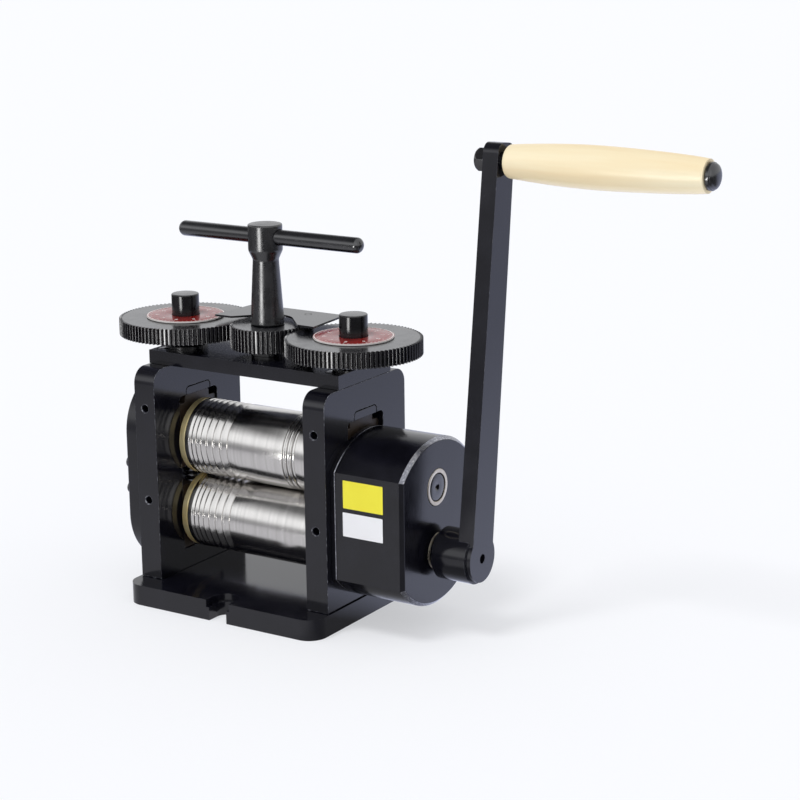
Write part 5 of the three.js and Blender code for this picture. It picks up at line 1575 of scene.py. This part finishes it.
    def post(self, side: Side, body: Body) -> None:
        """Builds one adjusting screw with the smooth post that shows above its dial."""
        node = f"adjusting_screw_{side.value}"
        span = Span.of(node)
        neck = Span.of("crosshead").high.z + self.post_rise
        low, top, thin, thick = span.low.z, span.high.z, self.thread_radius, self.post_radius
        profile = [(0, low), (thin, low), (thin, neck), (thick, neck), (thick, top), (0, top)]
        post = turned(f"{node}_finished", rounded(profile, 0.9, 5), place=(span.centre.x, 0))
        dress(smooth(post, 40), BLACKED_POST, BLACKED_TURNED)
        for face in post.data.polygons:
            face.material_index = 1 if face.normal.z > 0.9 else 0
        mount(post, body, [node])

    def pinion(self) -> None:
        """Builds the small gear between the two large ones."""
        span = Span.of("pinion_gear")
        low, high, tip = span.low.z, span.high.z, span.size.x / 2
        wheel = ToothedWheel(self.pinion_teeth, tip - self.tooth_height, tip, low, high)
        gear = wheel.build("pinion_gear_finished", BLACKED_TURNED)
        carve(gear, rod(self.spigot_radius + ROOM, low - OVERCUT, high + OVERCUT))
        mount(eased(gear, self.tooth_edge, 2), Body.T_HANDLE, ["pinion_gear"])

    def t_handle(self) -> None:
        """Builds the tapering post and the bar through its head."""
        span, bar = Span.of("t_handle_post"), Span.of("t_handle_bar")
        foot = Span.of("pinion_gear").high.z + 0.2
        spigot, head, top = self.spigot_radius, self.head_radius, span.high.z
        corners = [(0, span.low.z), (spigot, span.low.z), (spigot, foot), (self.cone_radii[0], foot)]
        corners += [(self.cone_radii[1], foot + self.cone_height), (head, foot + self.head_start)]
        post = turned("t_handle_post_finished", rounded([*corners, (head, top), (0, top)], 1.1, 5))
        carve(post, rod(self.bar_radius + ROOM, -12, 12, Axis.X, (0, bar.centre.z)))
        dress(smooth(post, 40), BLACKED_SATIN)
        mount(post, Body.T_HANDLE, ["t_handle_post"])
        low, high = bar.low.x, bar.high.x
        angles = [math.pi * step / 16 for step in range(9)]
        profile = [(self.bar_radius * math.sin(a), low + self.bar_dome * (1 - math.cos(a))) for a in angles]
        profile += [(r, low + high - x) for r, x in reversed(profile)]
        piece = turned("t_handle_bar_finished", profile, Axis.X, (0, bar.centre.z), 64)
        mount(dress(smooth(piece, 60), BLACKED_TURNED), Body.T_HANDLE, ["t_handle_bar"])

    def pointer_plate(self) -> None:
        """Builds the thin plate whose two tips read the dials."""
        span = Span.of("pointer_plate")
        tip_x, tip_y, back = span.high.x, span.low.y, span.high.y
        low, high, hub = span.low.z, span.high.z, self.notch_radius
        notch = Vector((self.notch[0], tip_y + self.notch[1]))
        reach = math.degrees(math.atan2(notch.y, notch.x) + math.acos(hub / notch.length))
        rear, corner = tip_x - self.wing_taper, self.wing_corner
        right = [tuple(notch), (tip_x, tip_y), (rear, back - corner), (rear - corner, back)]
        left = [(-x, y) for x, y in reversed(right)]
        outline = right + left + arc((0, 0), hub, 180 - reach, reach, 32)
        plate = extruded("pointer_plate_finished", outline, low, high)
        for side in Side:
            x, y, _ = Span.of(f"pointer_standoff_{side.value}").centre
            carve(plate, rod(2.3, low - OVERCUT, high + OVERCUT, Axis.Z, (x, y)))
        dress(plate, BLACKED_PLATE, RUBBED_EDGE_AND_HIGHLIGHT)
        mount(eased(plate, 0.15, 2), Body.FRAME, ["pointer_plate"])


@dataclass
class CarriedNodes:
    """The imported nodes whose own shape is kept, most of them inside the mill."""

    bright: tuple[str, ...] = (
        "roller_gear_lower", "roller_gear_upper", "roller_drive_gear", "countershaft_gear", "crank_shaft",
        "screw_key_left", "screw_key_right",
    )
    blacked: tuple[str, ...] = (
        "crank_set_screw", "pinion_stud", "pointer_standoff_left", "pointer_standoff_right",
    )

    def build(self) -> None:
        """Gives each kept node its finish."""
        for nodes, finish in ((self.bright, BRIGHT_STEEL), (self.blacked, BLACKED_TURNED)):
            for node in nodes:
                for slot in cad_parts[node].material_slots:
                    slot.material = finish.material()
                LOG.info("%s keeps its own shape", node)


@dataclass
class Studio:
    """The camera at the photograph's angle, a pale floor and soft light.

    The tones are what polished faces mirror of the table, at angles in degrees from straight ahead
    to the right. Behind the mill the table is as white as the backdrop. In front it falls into the
    room's shade, but for a narrow lamp in front of the window.
    """

    azimuth: float = 32.5805
    elevation: float = 14.3804
    roll: float = -0.7028
    distance: float = 1325.8
    target: tuple[float, float, float] = (99.7, 0.0, 144.8)
    focal_pixels: float = 2141.04
    sensor: float = 36.0
    floor_half: float = 60.0
    background: str = "#fbfcff"
    sky_light: float = 0.72
    sun_strength: float = 1.1
    sun_angle: float = 17.0
    floor_glow: float = 0.5
    sun_from: tuple[float, float, float] = (-0.16, -0.42, 0.9)
    tones: dict[str, tuple[float, float, float]] = field(
        default_factory=lambda: {
            "white": (0.88, 0.93, 1.2),
            "grey": (0.66, 0.66, 0.7),
            "lamp": (15.0, 15.0, 15.0),
            "shade": (0.2, 0.2, 0.21),
            "dim": (0.46, 0.46, 0.49),
        }
    )
    near_table: str = "-110 white -60 grey 38 grey 56 shade 78 shade 106 white"
    far_table: str = (
        "-150 white -136 shade -72 shade -52 dim -17 dim -10 lamp 0 lamp 7 shade 122 shade 138 white"
    )
    table_change: Point = (0.64, 0.71)

    def build(self) -> None:
        """Builds the camera, the floor, the world and the key light."""
        bpy.context.scene.view_settings.view_transform = "Standard"
        self.camera()
        self.floor()
        self.world()
        self.key_light()

    def camera(self) -> None:
        """Places the camera."""
        azimuth, elevation, roll = (math.radians(v) for v in (self.azimuth, self.elevation, self.roll))
        level = math.cos(elevation)
        back = Vector((math.sin(azimuth) * level, -math.cos(azimuth) * level, math.sin(elevation)))
        right = (-back).cross(Vector((0, 0, 1))).normalized()
        up = right.cross(-back)
        tilted_right = right * math.cos(roll) + up * math.sin(roll)
        tilted_up = up * math.cos(roll) - right * math.sin(roll)
        data = bpy.data.cameras.new("camera")
        data.sensor_width = self.sensor
        data.lens = self.focal_pixels * self.sensor / IMAGE_SIDE
        data.clip_start, data.clip_end = 0.05, 200.0
        camera = linked("camera", data)
        turn = Matrix((tilted_right, tilted_up, back)).transposed().to_4x4()
        camera.matrix_world = shift(*(Vector(self.target) + back * self.distance)) @ turn
        bpy.context.scene.camera = camera

    def floor(self) -> None:
        """Builds the pale floor, which keeps the mill's shadow."""
        half = self.floor_half
        mesh = bpy.data.meshes.new("floor")
        corners = [(x, y, 0) for x, y in rectangle(-half, half, -half, half)]
        mesh.from_pydata(corners, [], [(0, 1, 2, 3)])
        floor = linked("floor", mesh)
        material = bpy.data.materials.new("studio_floor")
        material.use_nodes = True
        tree = material.node_tree
        tree.nodes.clear()
        colour = linear(self.background)
        path = add_node(tree, "ShaderNodeLightPath")
        plain = add_node(tree, "ShaderNodeBsdfDiffuse", {"Color": colour})[0]
        glow = add_node(tree, "ShaderNodeEmission", {"Color": colour, "Strength": 1.0})[0]
        direct = add_node(tree, "ShaderNodeMixShader", {0: self.floor_glow, 1: plain, 2: glow})[0]
        table = add_node(tree, "ShaderNodeEmission", self.table_light(tree))[0]
        shown = add_node(tree, "ShaderNodeMixShader", {0: path["Is Camera Ray"], 1: plain, 2: direct})[0]
        both = add_node(tree, "ShaderNodeMixShader", {0: path["Is Glossy Ray"], 1: shown, 2: table})[0]
        add_node(tree, "ShaderNodeOutputMaterial", {"Surface": both})
        mesh.materials.append(material)

    def table_light(self, tree: Tree) -> dict[str, Socket]:
        """Returns the floor's colour and strength in a polished face, by its place round the mill.

        Args:
            tree: the floor's node tree.

        Returns:
            The inputs of the floor's emission, which grows weaker away from the mill.
        """
        place = add_node(tree, "ShaderNodeTexCoord")["Object"]
        parts = add_node(tree, "ShaderNodeSeparateXYZ", {0: place})
        forward = add_node(tree, "ShaderNodeMath", {0: parts[1], 1: -1.0}, operation="MULTIPLY")[0]
        angle = add_node(tree, "ShaderNodeMath", {0: parts[0], 1: forward}, operation="ARCTAN2")[0]
        share = add_node(tree, "ShaderNodeMapRange", {0: angle, 1: -math.pi, 2: math.pi})[0]
        bands = []
        for table in (self.near_table, self.far_table):
            words = table.split()
            stops = list(zip(words[::2], words[1::2]))
            bands += add_node(tree, "ShaderNodeValToRGB", {0: share})[:1]
            elements = bands[-1].node.color_ramp.elements
            while len(elements) < len(stops):
                elements.new(0.5)
            for element, (degrees, tone) in zip(elements, stops):
                element.position = (int(degrees) + 180) / 360
                element.color = (*self.tones[tone], 1.0)
        away = add_node(tree, "ShaderNodeVectorMath", {0: place}, operation="LENGTH")["Value"]
        low, high = self.table_change
        reach = add_node(tree, "ShaderNodeMapRange", {0: away, 1: low, 2: high})[0]
        both = add_node(tree, "ShaderNodeMix", {0: reach, 6: bands[0], 7: bands[1]}, data_type="RGBA")[2]
        fading = add_node(tree, "ShaderNodeMapRange", {0: away, 1: 0.25, 2: 1.0, 3: 1.1, 4: 0.75})[0]
        return {"Color": both, "Strength": fading}

    def world(self) -> None:
        """Lights the scene from all round, with a white background."""
        world = bpy.data.worlds.new("studio")
        world.use_nodes = True
        bpy.context.scene.world = world
        tree = world.node_tree
        tree.nodes.clear()
        path = add_node(tree, "ShaderNodeLightPath")
        views = {0: path["Is Camera Ray"], 1: path["Is Transmission Ray"]}
        seen = add_node(tree, "ShaderNodeMath", views, operation="MAXIMUM")[0]
        direct = add_node(tree, "ShaderNodeMapRange", {0: seen, 3: self.sky_light, 4: 1.0})[0]
        strength = {0: path["Is Glossy Ray"], 3: direct, 4: self.backdrop(tree)}
        glow = add_node(tree, "ShaderNodeMapRange", strength)[0]
        inputs = {"Color": linear(self.background), "Strength": glow}
        light = add_node(tree, "ShaderNodeBackground", inputs)[0]
        add_node(tree, "ShaderNodeOutputWorld", {"Surface": light})

    def backdrop(self, tree: Tree) -> Socket:
        """Returns the background's strength in polished faces: dark high on the left, where the room
        is unlit, and brighter at the front, where its window is.

        Args:
            tree: the world's node tree.

        Returns:
            The strength, about 1 elsewhere.
        """
        towards = add_node(tree, "ShaderNodeTexCoord")["Generated"]
        x, y, z = add_node(tree, "ShaderNodeSeparateXYZ", {0: towards})
        high = add_node(tree, "ShaderNodeMapRange", {0: z, 1: 0.42, 2: 0.72})[0]
        left = add_node(tree, "ShaderNodeMapRange", {0: x, 1: -0.05, 2: -0.4})[0]
        both = add_node(tree, "ShaderNodeMath", {0: high, 1: left}, operation="MULTIPLY")[0]
        dark = add_node(tree, "ShaderNodeMapRange", {0: both, 3: 1.0, 4: 0.12})[0]
        window = add_node(tree, "ShaderNodeMapRange", {0: z, 1: 0.06, 2: 0.2, 3: 0.45, 4: 1.35})[0]
        front = add_node(tree, "ShaderNodeMapRange", {0: y, 1: -0.3, 2: -0.6, 3: 1.0, 4: window})[0]
        return add_node(tree, "ShaderNodeMath", {0: dark, 1: front}, operation="MULTIPLY")[0]

    def key_light(self) -> None:
        """Adds a broad, even light from above the front left, which casts the soft shadow."""
        data = bpy.data.lights.new("key_light", "SUN")
        data.energy = self.sun_strength
        data.angle = math.radians(self.sun_angle)
        lamp = linked("key_light", data)
        lamp.rotation_mode = "QUATERNION"
        lamp.rotation_quaternion = Vector(self.sun_from).to_track_quat("Z", "Y")
        lamp.visible_glossy = False


def main() -> None:
    """Builds the mill piece by piece."""
    logging.basicConfig(level=logging.INFO, format="%(name)s: %(message)s")
    for assembly in (Studio, FramePlates, RollerSet, GearCover, Gearbox, Crank, GapSetting, CarriedNodes):
        LOG.info("building %s", assembly.__name__)
        assembly().build()


if __name__ == "__main__":
    main()
